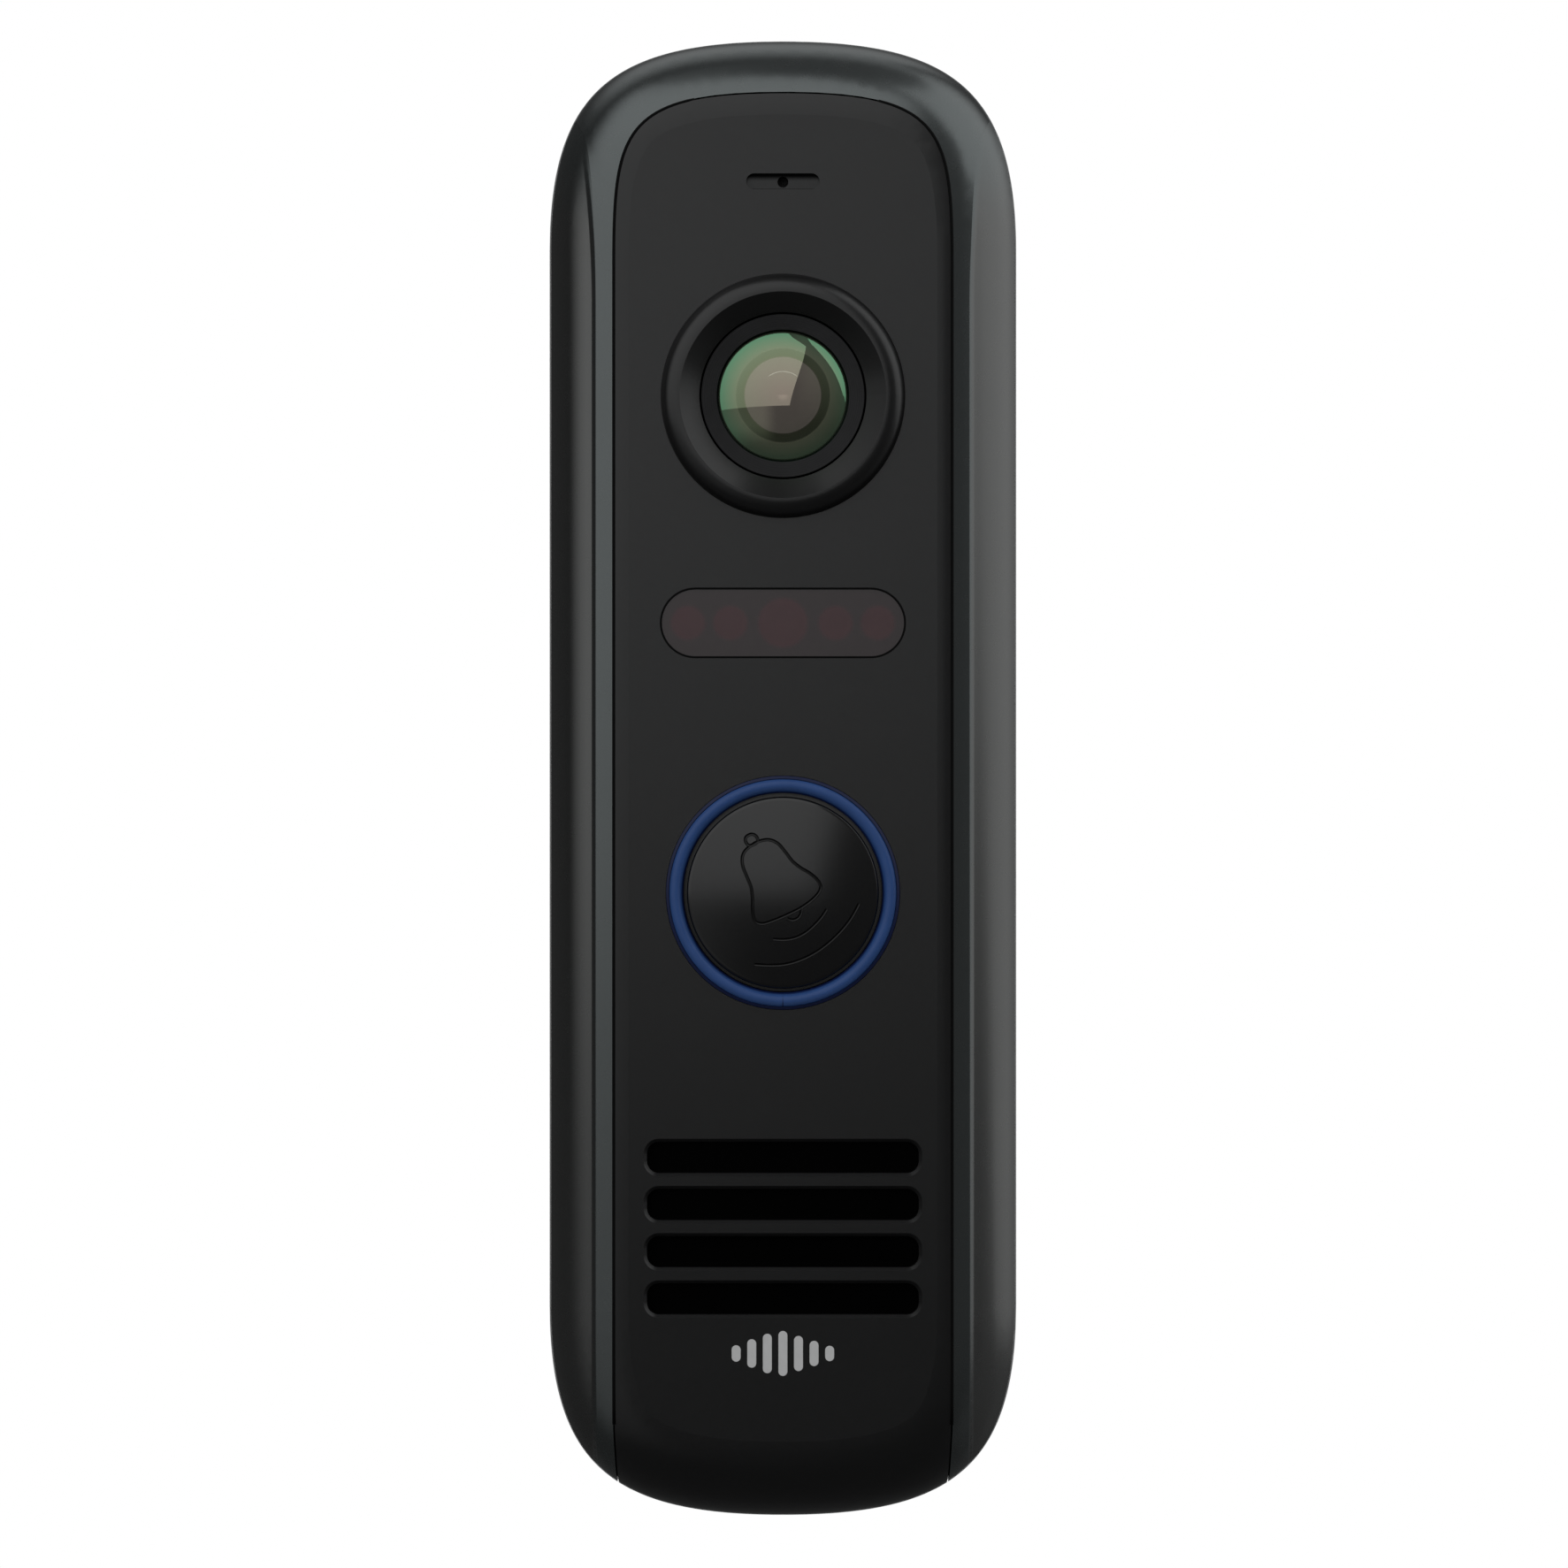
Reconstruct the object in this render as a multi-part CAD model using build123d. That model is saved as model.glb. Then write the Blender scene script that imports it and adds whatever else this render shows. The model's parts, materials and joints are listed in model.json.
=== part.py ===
from build123d import *
from math import asin, cos, sin
import os

# A slim wall-mounted video doorbell: a die-cast shell with a black faceplate that
# carries the camera, night light, call button and speaker, hung on a steel bracket.
#
# Units are millimetres. +X is right as a visitor sees it, +Z is up and the front
# faces -Y. The origin is the centre of the bracket's back face, so the wall is the
# plane y = 0. A depth is a distance out from the wall: depth 24 lies at y = -24.

# Overall size
UNIT_WIDTH = 43.1
UNIT_HEIGHT = 136.0
FRONT = 24.0
REAR_RIM = 0.5
EDGE_RADIUS = 7.5
RELIEF_RADIUS = 9.0
RELIEF_SHIFT = 0.42

# Corner curve of the outline
CORNER_START = 48.7
CORNER_HIGH = 63.7
CORNER_WIDE = 15.4

# Shell
RIM_WALL = 1.6
MAIN_WALL = 3.0
COVER_LEDGE = 4.2
SHELL_FRONT = 20.2
RELIEF_EDGE = 17.1
BOSS_X = 14.2
BOSS_Z = 56.6

# Faceplate
PANEL_SIDE = 15.35
PANEL_TOP = 62.45
PANEL_BEND = 46.3
PANEL_THICKNESS = 2.2
PANEL_BACK = FRONT - PANEL_THICKNESS
SEAL_THICKNESS = 0.3
SEAM = 0.15
LIP_BACK = 12.0

# Heights of the features on the front
MIC_Z = 54.4
CAMERA_Z = 34.85
WINDOW_Z = 14.15
BUTTON_Z = -10.45
SPEAKER_Z = -41.05

# Microphone slot
MIC_SLOT = (6.7, 1.45)
MIC_SLOT_DEPTH = 0.8
MIC_RADIUS = 3.0

# Camera
BEZEL_RADIUS = 11.15
BEZEL_RIM = 9.4
BEZEL_FRONT = 25.6
BEZEL_SPIGOT = 10.15
LENS_RADIUS = 7.5
GLASS_RADIUS = 5.9
THREAD_RADIUS = 6.0
CAMERA_BOARD = 7.4
BOARD_THICKNESS = 1.6
THREAD_CORE = 0.78

# Night-light window and its LEDs
WINDOW = (22.2, 6.2)
WINDOW_FRONT = 23.85
LED_X = (-8.65, -4.8, 4.8, 8.65)
LED_RADIUS = 1.5

# Call button
RING_RADIUS = 10.65
RING_BORE = 9.1
BUTTON_RADIUS = 8.75
STEM_RADIUS = 6.0
DOME_FRONT = 24.7
GROOVE = 0.28

# Speaker grille and speaker
SLOT = (24.8, 2.85)
SLOT_PITCH = 4.3
SLOT_COUNT = 4
SLOT_CORNER = 1.1
CHAMBER = (25.2, 18.2)
SPEAKER = (29.0, 24.4)
SPEAKER_FRONT = 19.0

# Main board
MAIN_BOARD = 13.4
MAIN_BOARD_FRONT = MAIN_BOARD + BOARD_THICKNESS

# Rear cover
COVER_BACK = 1.4
COVER_FRONT = 3.4
POCKET_WALL = 1.0
ENTRY = (19.0, 17.0)
ENTRY_Z = 12.0
TERMINAL_Z = 15.4
TERMINAL_PITCH = 3.8

# Wall bracket
PLATE = 1.2
BRACKET_SIDE = 16.5
BRACKET_TOP = 57.0
BRACKET_HEIGHT = 94.0
WALL_SCREW_Z = 40.0
WALL_SCREW_RADIUS = 2.1
HOOK_X = 11.0
HOOK_Z = (44.0, -36.0)
HOOK_WIDTH = 6.0
HOOK_LIP = 2.5
LIFT = 3.2
FLANGE_BOTTOM = -60.0
FLANGE_REACH = 11.0

# Security screw, square to the wall bracket's flange
SCREW_DEPTH = 7.4
SCREW_RADIUS = 1.5
SCREW_SEAT = -65.3


def prism(sketch, near, far):
    """A sketch drawn as seen from the front, extruded between two depths."""
    return extrude(Plane.XZ.offset(near) * sketch, amount=far - near)


def disc(x, z, radius, near, far):
    return prism(Pos(x, z) * Circle(radius), near, far)


def tube(x, z, radius, bore, near, far):
    return prism(Pos(x, z) * (Circle(radius) - Circle(bore)), near, far)


def block(x, z, width, height, near, far, corner=0.0):
    shape = RectangleRounded(width, height, corner) if corner else Rectangle(width, height)
    return prism(Pos(x, z) * shape, near, far)


def stadium(x, z, width, height, near, far):
    """A plate with two full round ends, lying across the unit."""
    return prism(Pos(x, z) * SlotOverall(width, height), near, far)


def turned(x, z, profile):
    """A solid turned about an axis square to the wall, from (radius, depth) points or a face."""
    face = profile if isinstance(profile, Sketch) else make_face(Polyline(*profile, close=True))
    half = Plane(origin=(x, 0, z), x_dir=(1, 0, 0), z_dir=(0, 0, -1))
    return revolve(half * face, Axis((x, 0, z), (0, -1, 0)))


def dome_arc(radius, edge, apex):
    """The arc of a ball centred on the axis, from its edge to its apex, as (radius, depth)."""
    ball = ball_radius(radius, apex - edge)
    half = asin(radius / ball) / 2
    middle = (ball * sin(half), apex - ball + ball * cos(half))
    return ThreePointArc((radius, edge), middle, (0, apex))


def ball_radius(radius, rise):
    """The radius of a ball whose cap has this radius and rise."""
    return (radius**2 + rise**2) / (2 * rise)


def upright(x, depth, radius, low, high):
    """A cylinder along Z."""
    return Pos(x, -depth, (low + high) / 2) * Cylinder(radius, high - low)


def both_sides(x, *heights):
    """Places left and right of the centre line, at each height."""
    return [(side * x, z) for z in heights for side in (-1, 1)]


def joined(solids):
    """Separate solids as one group, or one solid where they meet."""
    total = solids[0]
    for solid in solids[1:]:
        total += solid
    return total


# Outlines seen from the front

def outline(inset=0.0):
    """The unit's outline moved inwards: straight sides, and one Bezier curve for each corner."""
    side = UNIT_WIDTH / 2 - inset
    end = UNIT_HEIGHT / 2 - inset
    high = CORNER_HIGH - 0.52 * inset
    wide = CORNER_WIDE - 0.32 * inset
    corner = Bezier((side, CORNER_START), (side, high), (wide, end), (0, end))
    right = corner + Line((side, CORNER_START), (side, -CORNER_START)) + mirror(corner, Plane.XZ)
    return make_face(right + mirror(right, Plane.YZ))


def panel_outline(grow=0.0, bottom=-UNIT_HEIGHT / 2 - 3):
    """The faceplate's outline: a curved top corner on each side, and sides that draw in near the end."""
    side = PANEL_SIDE + grow
    top = PANEL_TOP + grow
    corner = Bezier((side, PANEL_BEND), (side, 58.8 + grow), (15.0, top), (0, top))
    draw_in = -59.5
    foot = side - 0.5 * max(0.0, min(1.0, (draw_in - bottom) / 9))
    edge = Polyline((side, PANEL_BEND), (side, draw_in), (foot, bottom), (0, bottom))
    if bottom > draw_in:
        edge = Polyline((side, PANEL_BEND), (side, bottom), (0, bottom))
    right = corner + edge
    return make_face(right + mirror(right, Plane.YZ))


def relief_outline():
    """One side's sunken strip: its inner edge is straight and leans out near the top."""
    edge = RELIEF_EDGE
    inner = Bezier((edge, 43.0), (edge, 51.0), (17.5, 57.4), (18.35, 59.15))
    rest = Polyline((18.35, 59.15), (19.7, 61.8), (24.0, 61.8), (24.0, -72.0), (edge, -72.0), (edge, 43.0))
    return make_face(inner + rest)


def body(inset, front, radius):
    """The rounded block that the outline makes, up to a front depth."""
    solid = prism(outline(inset), REAR_RIM, front)
    return fillet(solid.edges().group_by(Axis.Y)[0], radius)


# Shell

def housing_shell():
    """The outer shell. Each side strip is sunk to a slacker roundness that starts further out, so
    the strip fades out against the end's curve and closes there as a pointed leaf."""
    strip = relief_outline()
    strips = prism(strip + mirror(strip, Plane.YZ), REAR_RIM + 6, FRONT + 2)
    shell = body(0, FRONT, EDGE_RADIUS)
    shell -= strips - body(-RELIEF_SHIFT, FRONT, RELIEF_RADIUS)
    shell -= prism(outline(RIM_WALL), REAR_RIM - 1, COVER_LEDGE)
    cavity = prism(outline(MAIN_WALL), COVER_LEDGE - 1, SHELL_FRONT)
    shell -= fillet(cavity.edges().group_by(Axis.Y)[0], 3.5)
    depth = PANEL_THICKNESS + SEAL_THICKNESS
    core = body(depth, FRONT - depth, EDGE_RADIUS - depth)
    shell -= prism(panel_outline(SEAM), LIP_BACK - SEAM, FRONT + 2) - core
    shell -= prism(panel_outline(-2.0, bottom=-57.5), SHELL_FRONT - 2, FRONT)
    for x, z in both_sides(BOSS_X, BOSS_Z, -BOSS_Z):
        shell += disc(x, z, 3.0, COVER_FRONT, SHELL_FRONT + 0.3)
        shell -= disc(x, z, 1.05, COVER_FRONT - 1, 13.0)
    screw_floor = block(0, -65.0, 9.0, 3.0, COVER_LEDGE, FLANGE_REACH + 0.3)
    shell += screw_floor & body(1.0, FRONT - 2, EDGE_RADIUS)
    shell -= upright(0, SCREW_DEPTH, SCREW_RADIUS + 0.1, -70, -60)
    shell -= upright(0, SCREW_DEPTH, 3.05, -70, SCREW_SEAT)
    return shell


def faceplate_seal():
    """An adhesive foam frame that fills the gap between the faceplate and the shell's ledge."""
    ring = panel_outline(-0.3, bottom=-61.0) - panel_outline(-1.7, bottom=-59.0)
    depth = PANEL_THICKNESS + SEAL_THICKNESS
    gap = body(PANEL_THICKNESS, PANEL_BACK, EDGE_RADIUS - PANEL_THICKNESS)
    gap -= body(depth, FRONT - depth, EDGE_RADIUS - depth)
    return gap & prism(ring, SHELL_FRONT, FRONT)


def wall_seal():
    """A foam strip stuck to the shell's rear rim."""
    return prism(outline(0.15) - outline(1.5), 0.1, REAR_RIM)


# Faceplate

def slot_heights():
    first = SPEAKER_Z + SLOT_PITCH * (SLOT_COUNT - 1) / 2
    return [first - SLOT_PITCH * i for i in range(SLOT_COUNT)]


def faceplate_bosses():
    """Screw posts behind the faceplate, each (x, z, radius, rear depth)."""
    posts = [(x, z, 2.0, CAMERA_BOARD + BOARD_THICKNESS) for x, z in camera_screws()]
    posts += [(x, z, 2.0, MAIN_BOARD_FRONT) for x, z in main_board_screws()]
    posts += [(x, z, 1.4, SPEAKER_FRONT) for x, z in speaker_screws()]
    return posts


def camera_screws():
    return both_sides(11.0, CAMERA_Z - 12.7, CAMERA_Z + 12.7)


def main_board_screws():
    return both_sides(11.1, 5.8, -25.9)


def speaker_screws():
    return both_sides(11.9, SPEAKER_Z - 11.0, SPEAKER_Z + 11.0)


def faceplate():
    plate = body(0, FRONT, EDGE_RADIUS) & prism(panel_outline(), LIP_BACK, FRONT + 2)
    plate -= body(PANEL_THICKNESS, PANEL_BACK, EDGE_RADIUS - PANEL_THICKNESS)
    plate -= disc(0, CAMERA_Z, BEZEL_SPIGOT + 0.05, PANEL_BACK - 1, FRONT + 1)
    plate -= disc(0, BUTTON_Z, RING_RADIUS + 0.05, PANEL_BACK - 1, FRONT + 1)
    plate -= stadium(0, WINDOW_Z, WINDOW[0] + 0.1, WINDOW[1] + 0.1, PANEL_BACK - 1, FRONT + 1)
    plate -= stadium(0, MIC_Z, *MIC_SLOT, FRONT - MIC_SLOT_DEPTH, FRONT + 1)
    plate -= disc(0, MIC_Z, 0.5, PANEL_BACK - 1, FRONT)
    for z in slot_heights():
        plate -= block(0, z, *SLOT, PANEL_BACK - 1, FRONT + 1, SLOT_CORNER)
    openings = plate.edges().filter_by_position(Axis.Y, -FRONT - 0.01, -FRONT + 0.01)
    in_grille = openings.filter_by_position(Axis.Z, SPEAKER_Z - 9, SPEAKER_Z + 9)
    plate = chamfer([e for e in in_grille if abs(e.center().X) < 13], 0.3)
    chamber = [side + 1.4 for side in CHAMBER]
    rib = block(0, SPEAKER_Z, *chamber, SPEAKER_FRONT + 0.8, PANEL_BACK + 0.2, 3.8)
    plate += rib - block(0, SPEAKER_Z, *CHAMBER, SPEAKER_FRONT, PANEL_BACK, 3.2)
    for x, z, radius, back in faceplate_bosses():
        plate += disc(x, z, radius, back, PANEL_BACK + 0.2)
        plate -= disc(x, z, 0.8, back - 1, back + 5 if back < 18 else PANEL_BACK)
    plate += tube(0, MIC_Z, 5.0, 4.25, 18.6, PANEL_BACK + 0.2)
    return plate


def speaker_mesh():
    width, height = (side - 0.1 for side in CHAMBER)
    return block(0, SPEAKER_Z, width, height, PANEL_BACK - 0.25, PANEL_BACK, 3.1)


# Camera

def camera_bezel():
    """The raised ring: its outside rolls up to a sharp rim, and its inside falls as a shallow cone."""
    roll = ThreePointArc((BEZEL_RADIUS, FRONT), (10.75, 25.05), (BEZEL_RIM, BEZEL_FRONT))
    inside = Polyline((BEZEL_RIM, BEZEL_FRONT), (LENS_RADIUS + 0.12, 24.1), (LENS_RADIUS + 0.12, 22.7),
                      (8.5, 22.7), (8.5, 21.5), (LENS_RADIUS + 0.12, 21.5), (LENS_RADIUS + 0.12, 20.3),
                      (BEZEL_SPIGOT, 20.3), (BEZEL_SPIGOT, FRONT), (BEZEL_RADIUS, FRONT))
    return turned(0, CAMERA_Z, make_face(roll + inside))


def lens_o_ring():
    section = Pos(8.0, 22.1) * Circle(0.48)
    return turned(0, CAMERA_Z, section)


def lens_barrel():
    rim = ThreePointArc((LENS_RADIUS, 23.9), (7.05, 24.5), (6.15, 24.75))
    rest = Polyline((6.15, 24.75), (GLASS_RADIUS + 0.05, 24.5), (GLASS_RADIUS + 0.05, 22.0), (4.6, 22.0),
                    (4.6, 17.2), (1.9, 16.9), (1.9, 16.3), (4.3, 16.0), (4.3, 11.6),
                    (THREAD_RADIUS, 11.6), (THREAD_RADIUS, 19.4), (LENS_RADIUS, 19.4), (LENS_RADIUS, 23.9))
    return turned(0, CAMERA_Z, make_face(rim + rest))


def lens_front_glass():
    """A steep meniscus: its front stands a little proud of the barrel's rim."""
    front = dome_arc(GLASS_RADIUS, 23.7, 25.35)
    back = dome_arc(4.5, 22.05, 23.6)
    edge = Line((0, 25.35), (0, 23.6)) + Polyline((4.5, 22.05), (GLASS_RADIUS, 22.05), (GLASS_RADIUS, 23.7))
    return turned(0, CAMERA_Z, make_face(front + back + edge))


def lens_spacer():
    """The stepped ring seen through the front glass."""
    steps = [(4.55, 21.9), (3.5, 20.9), (3.5, 19.6), (4.55, 19.6)]
    return turned(0, CAMERA_Z, steps)


def lens_inner_glass():
    front = dome_arc(4.5, 18.9, 19.5)
    rest = Polyline((0, 19.5), (0, 17.6), (4.5, 17.6), (4.5, 18.9))
    return turned(0, CAMERA_Z, make_face(front + rest))


def lens_rear_glass():
    back = dome_arc(4.2, 12.8, 12.0)
    rest = Polyline((4.2, 12.8), (4.2, 15.2), (0, 15.2), (0, 12.0))
    return turned(0, CAMERA_Z, make_face(back + rest))


def lens_holder():
    """The threaded mount that stands on the camera board over the sensor."""
    base = CAMERA_BOARD + BOARD_THICKNESS
    holder = block(0, CAMERA_Z, 16.0, 16.0, base, base + 2.4, 1.5)
    holder += disc(0, CAMERA_Z, 7.4, base, 19.2)
    holder -= disc(0, CAMERA_Z, THREAD_RADIUS + 0.05, base + 2.4, 20)
    holder -= block(0, CAMERA_Z, 9.2, 9.2, base - 1, base + 2.5)
    return holder


def ir_cut_filter():
    return block(0, CAMERA_Z, 9.0, 9.0, 10.3, 10.9)


def image_sensor():
    base = CAMERA_BOARD + BOARD_THICKNESS
    return block(0, CAMERA_Z, 7.0, 6.6, base, base + 0.9)


def camera_board():
    board = block(0, CAMERA_Z, 27.0, 30.0, CAMERA_BOARD, CAMERA_BOARD + BOARD_THICKNESS, 1.5)
    for x, z in camera_screws():
        board -= disc(x, z, 1.1, CAMERA_BOARD - 1, CAMERA_BOARD + 3)
    return board


def pan_screws(places, seat, length, head_radius=1.7, head_height=0.8):
    """Self-tapping screws driven from the rear, one separate solid for each place."""
    screws = []
    top = seat - head_height
    for x, z in places:
        screw = disc(x, z, head_radius, top, seat) + disc(x, z, THREAD_CORE, seat, seat + length)
        screw -= block(x, z, 1.5, 0.35, top - 1, top + head_height / 2)
        screw -= block(x, z, 0.35, 1.5, top - 1, top + head_height / 2)
        screws.append(screw)
    return Compound(screws)


def image_processor():
    return block(0, CAMERA_Z - 8.5, 7.0, 7.0, CAMERA_BOARD - 0.9, CAMERA_BOARD)


def camera_ribbon():
    """A flat cable from the camera board's lower edge to the front of the main board."""
    near = CAMERA_BOARD + BOARD_THICKNESS + 0.15
    far = MAIN_BOARD_FRONT + 0.15
    route = Polyline((near, 23.0), (near, 20.4), (far, 20.0), (far, 18.2))
    side_view = Plane(origin=(4, 0, 0), x_dir=(0, -1, 0), z_dir=(-1, 0, 0))
    return extrude(side_view * band_along(route, 0.3), amount=8)


# Night light

def ir_window():
    window = stadium(0, WINDOW_Z, *WINDOW, PANEL_BACK - 0.5, WINDOW_FRONT)
    return window + stadium(0, WINDOW_Z, WINDOW[0] + 2.0, WINDOW[1] + 2.0, PANEL_BACK - 1.0, PANEL_BACK)


def ir_leds():
    leds = []
    for x in LED_X:
        top = MAIN_BOARD_FRONT + 5.3
        tip = dome_arc(LED_RADIUS, top - LED_RADIUS, top)
        stem = Polyline((0, top), (0, MAIN_BOARD_FRONT), (1.85, MAIN_BOARD_FRONT),
                        (1.85, MAIN_BOARD_FRONT + 1), (LED_RADIUS, MAIN_BOARD_FRONT + 1),
                        (LED_RADIUS, top - LED_RADIUS))
        leds.append(turned(x, WINDOW_Z, make_face(tip + stem)))
    return Compound(leds)


def led_holder():
    """An opaque block that keeps the LEDs upright and their light off the sensor."""
    holder = stadium(0, WINDOW_Z, 22.6, 7.0, 16.4, 18.8)
    for x in LED_X:
        holder -= disc(x, WINDOW_Z, LED_RADIUS + 0.08, 16, 20)
    holder -= disc(0, WINDOW_Z, 2.3, 16, 20)
    for x in (-6.72, 6.72):
        holder += disc(x, WINDOW_Z - 2.6, 0.6, MAIN_BOARD_FRONT, 16.8)
    return holder


def light_sensor():
    sensor = disc(0, WINDOW_Z, 2.2, 17.2, 19.4)
    for x in (-1.27, 1.27):
        sensor += disc(x, WINDOW_Z, 0.25, MAIN_BOARD_FRONT, 17.4)
    return sensor


# Call button

def light_ring():
    """A translucent ring: a narrow rim, a broad rounded band and a flange behind the faceplate."""
    band = ThreePointArc((10.35, 24.15), (9.8, 24.55), (9.3, 24.1))
    rest = Polyline((9.3, 24.1), (RING_BORE, 23.7), (RING_BORE, 20.6), (12.2, 20.6), (12.2, PANEL_BACK),
                    (RING_RADIUS, PANEL_BACK), (RING_RADIUS, 24.1), (10.4, 24.25), (10.35, 24.15))
    return turned(0, BUTTON_Z, make_face(band + rest))


def band_along(path, width):
    """A sketch of constant width that follows a line."""
    return make_face(offset(path, width / 2))


def bell_outline(grow):
    """A bell shape, moved outwards all round."""
    shoulder = 1.95 + grow
    low = -3.2 - grow
    side = Bezier((-3.1 - grow, -2.7), (-2.2 - grow, -1.7), (-1.9 - grow, -0.6), (-shoulder, 1.0))
    crown = Bezier((-shoulder, 1.0), (-shoulder, 3.9 + grow), (shoulder, 3.9 + grow), (shoulder, 1.0))
    corner = Bezier((-3.1 - grow, -2.7), (-3.4 - grow, -3.0), (-3.1, low), (-2.6, low))
    half = side + corner
    return make_face(half + mirror(half, Plane.YZ) + crown + Line((-2.6, low), (2.6, low)))


def bell_icon():
    """A bell tipped to the left, drawn as an outline, with a clapper and two sound waves below it."""
    outer = bell_outline(0.19)
    loop = Pos(0, 3.65) * Circle(0.66) - Pos(0, 3.65) * Circle(0.36)
    clapper = (Pos(0, -3.3) * (Circle(0.85) - Circle(0.6))) & (Pos(0, -5.0) * Rectangle(4, 3.0))
    icon = (outer - bell_outline(-0.19)) + (loop - outer) + (clapper - outer)
    middle = (-0.5, 1.87)
    icon = Pos(*middle) * Rot(0, 0, 29.6) * icon
    for radius, start, turn in ((5.9, -93, 56), (8.15, -103, 81)):
        icon += band_along(CenterArc(middle, radius, start, turn), 0.26)
    return icon


def call_button():
    """A domed cap with an engraved bell, a flange behind the light ring, a stem and a central pusher."""
    top = dome_arc(BUTTON_RADIUS - 0.35, 24.13, DOME_FRONT)
    rest = Polyline((BUTTON_RADIUS - 0.35, 24.13), (BUTTON_RADIUS - 0.12, 24.05), (BUTTON_RADIUS, 23.8),
                    (BUTTON_RADIUS, 20.55), (10.0, 20.55), (10.0, 19.4), (STEM_RADIUS, 19.4),
                    (STEM_RADIUS, 18.2), (4.8, 18.2), (4.8, 22.4), (2.2, 22.4), (2.2, 20.02),
                    (0, 20.02), (0, DOME_FRONT))
    cap = turned(0, BUTTON_Z, make_face(top + rest))
    ball = ball_radius(BUTTON_RADIUS, 0.57)
    floor = Pos(0, ball - DOME_FRONT + GROOVE, BUTTON_Z) * Sphere(ball)
    return cap - (prism(Pos(0, BUTTON_Z) * bell_icon(), 23, FRONT + 2) - floor)


def button_seal():
    """A silicone skirt: its rim is bonded behind the light ring, its bead grips the button's stem."""
    skirt = [(12.2, 20.6), (12.2, 19.8), (10.7, 19.8), (10.3, 18.6), (6.05, 18.6), (6.05, 19.2),
             (10.1, 19.2), (10.3, 20.6)]
    return turned(0, BUTTON_Z, skirt)


def switch_body():
    base = MAIN_BOARD_FRONT
    switch = block(0, BUTTON_Z, 6.0, 6.0, base, base + 3.5, 0.4)
    switch -= disc(0, BUTTON_Z, 2.6, base + 0.8, base + 2.7)
    switch -= disc(0, BUTTON_Z, 1.8, base + 2, base + 4)
    return switch


def switch_dome():
    """The snap disc under the plunger."""
    base = MAIN_BOARD_FRONT + 0.8
    disc_section = [(2.5, base), (1.4, base + 0.55), (0, base + 0.7), (0, base + 0.85),
                    (1.45, base + 0.7), (2.5, base + 0.15)]
    return turned(0, BUTTON_Z, disc_section)


def switch_plunger():
    base = MAIN_BOARD_FRONT
    return disc(0, BUTTON_Z, 1.72, base + 2, base + 5) + disc(0, BUTTON_Z, 2.45, base + 1.7, base + 2.6)


def ring_leds():
    leds = []
    for i in range(6):
        place = Pos(0, BUTTON_Z) * Rot(0, 0, 30 + 60 * i) * Pos(10.0, 0)
        leds.append(prism(place * Rectangle(1.6, 3.2), MAIN_BOARD_FRONT, MAIN_BOARD_FRONT + 0.9))
    return Compound(leds)


# Speaker and microphone

def speaker_gasket():
    outer = RectangleRounded(CHAMBER[0] + 2.0, CHAMBER[1] + 2.0, 4)
    inner = RectangleRounded(CHAMBER[0], CHAMBER[1], 3.2)
    return prism(Pos(0, SPEAKER_Z) * (outer - inner), SPEAKER_FRONT, SPEAKER_FRONT + 0.8)


def speaker_frame():
    frame = block(0, SPEAKER_Z, *SPEAKER, 18.0, SPEAKER_FRONT, 2.5)
    profile = [(11.4, 18.2), (11.4, 17.6), (8.4, 13.2), (8.4, 12.0), (5.2, 12.0), (5.2, 13.0), (7.4, 13.0),
               (10.0, 17.2), (10.0, 17.85), (10.4, 17.85), (10.4, 18.2)]
    frame -= disc(0, SPEAKER_Z, 10.4, 17, 20)
    frame += turned(0, SPEAKER_Z, profile)
    for x, z in speaker_screws():
        frame -= disc(x, z, 0.95, 17, 20)
    return frame


def speaker_magnet():
    """A pot magnet with a round gap for the voice coil."""
    pot = disc(0, SPEAKER_Z, 7.4, 9.2, 11.95)
    pot += disc(0, SPEAKER_Z, 4.0, 11, 13.4)
    return pot


def speaker_surround():
    """The soft roll between the cone and the frame."""
    roll = ThreePointArc((10.3, 18.05), (9.3, 18.75), (8.35, 18.05))
    under = ThreePointArc((8.35, 17.9), (9.3, 18.6), (10.3, 17.9))
    ends = Line((10.3, 18.05), (10.3, 17.9)) + Line((8.35, 18.05), (8.35, 17.9))
    return turned(0, SPEAKER_Z, make_face(roll + under + ends))


def speaker_cone():
    """A paper cone and dust cap, with the voice coil's tube behind them."""
    cone = [(8.3, 18.05), (4.9, 15.6), (4.9, 12.5), (4.5, 12.5), (4.5, 15.5), (4.2, 15.9),
            (2.5, 16.7), (0, 17.0), (0, 17.25), (2.7, 16.95), (4.4, 16.1), (8.3, 18.3)]
    return turned(0, SPEAKER_Z, cone)


def leads(bend, route, spread, radius=0.45):
    """Two insulated wires side by side, each straight runs joined by arcs."""
    wires = []
    for side in (-spread / 2, spread / 2):
        points = [(x + side, -depth, z) for x, depth, z in route]
        path = FilletPolyline(*points, radius=bend)
        wires.append(sweep(Plane(path @ 0, z_dir=path % 0) * Circle(radius), path=path))
    return Compound(wires)


def speaker_leads():
    return leads(1.5, [(5.0, 18.0, -29.95), (5.0, 11.2, -29.95), (5.0, 11.2, -27.8)], 1.4)


def microphone_capsule():
    return disc(0, MIC_Z, MIC_RADIUS, 18.3, 20.9)


def microphone_boot():
    boot = disc(0, MIC_Z, 4.2, 18.3, PANEL_BACK)
    boot -= disc(0, MIC_Z, MIC_RADIUS, 17, 20.9)
    boot -= disc(0, MIC_Z, 0.6, 18, FRONT)
    return boot


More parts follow.
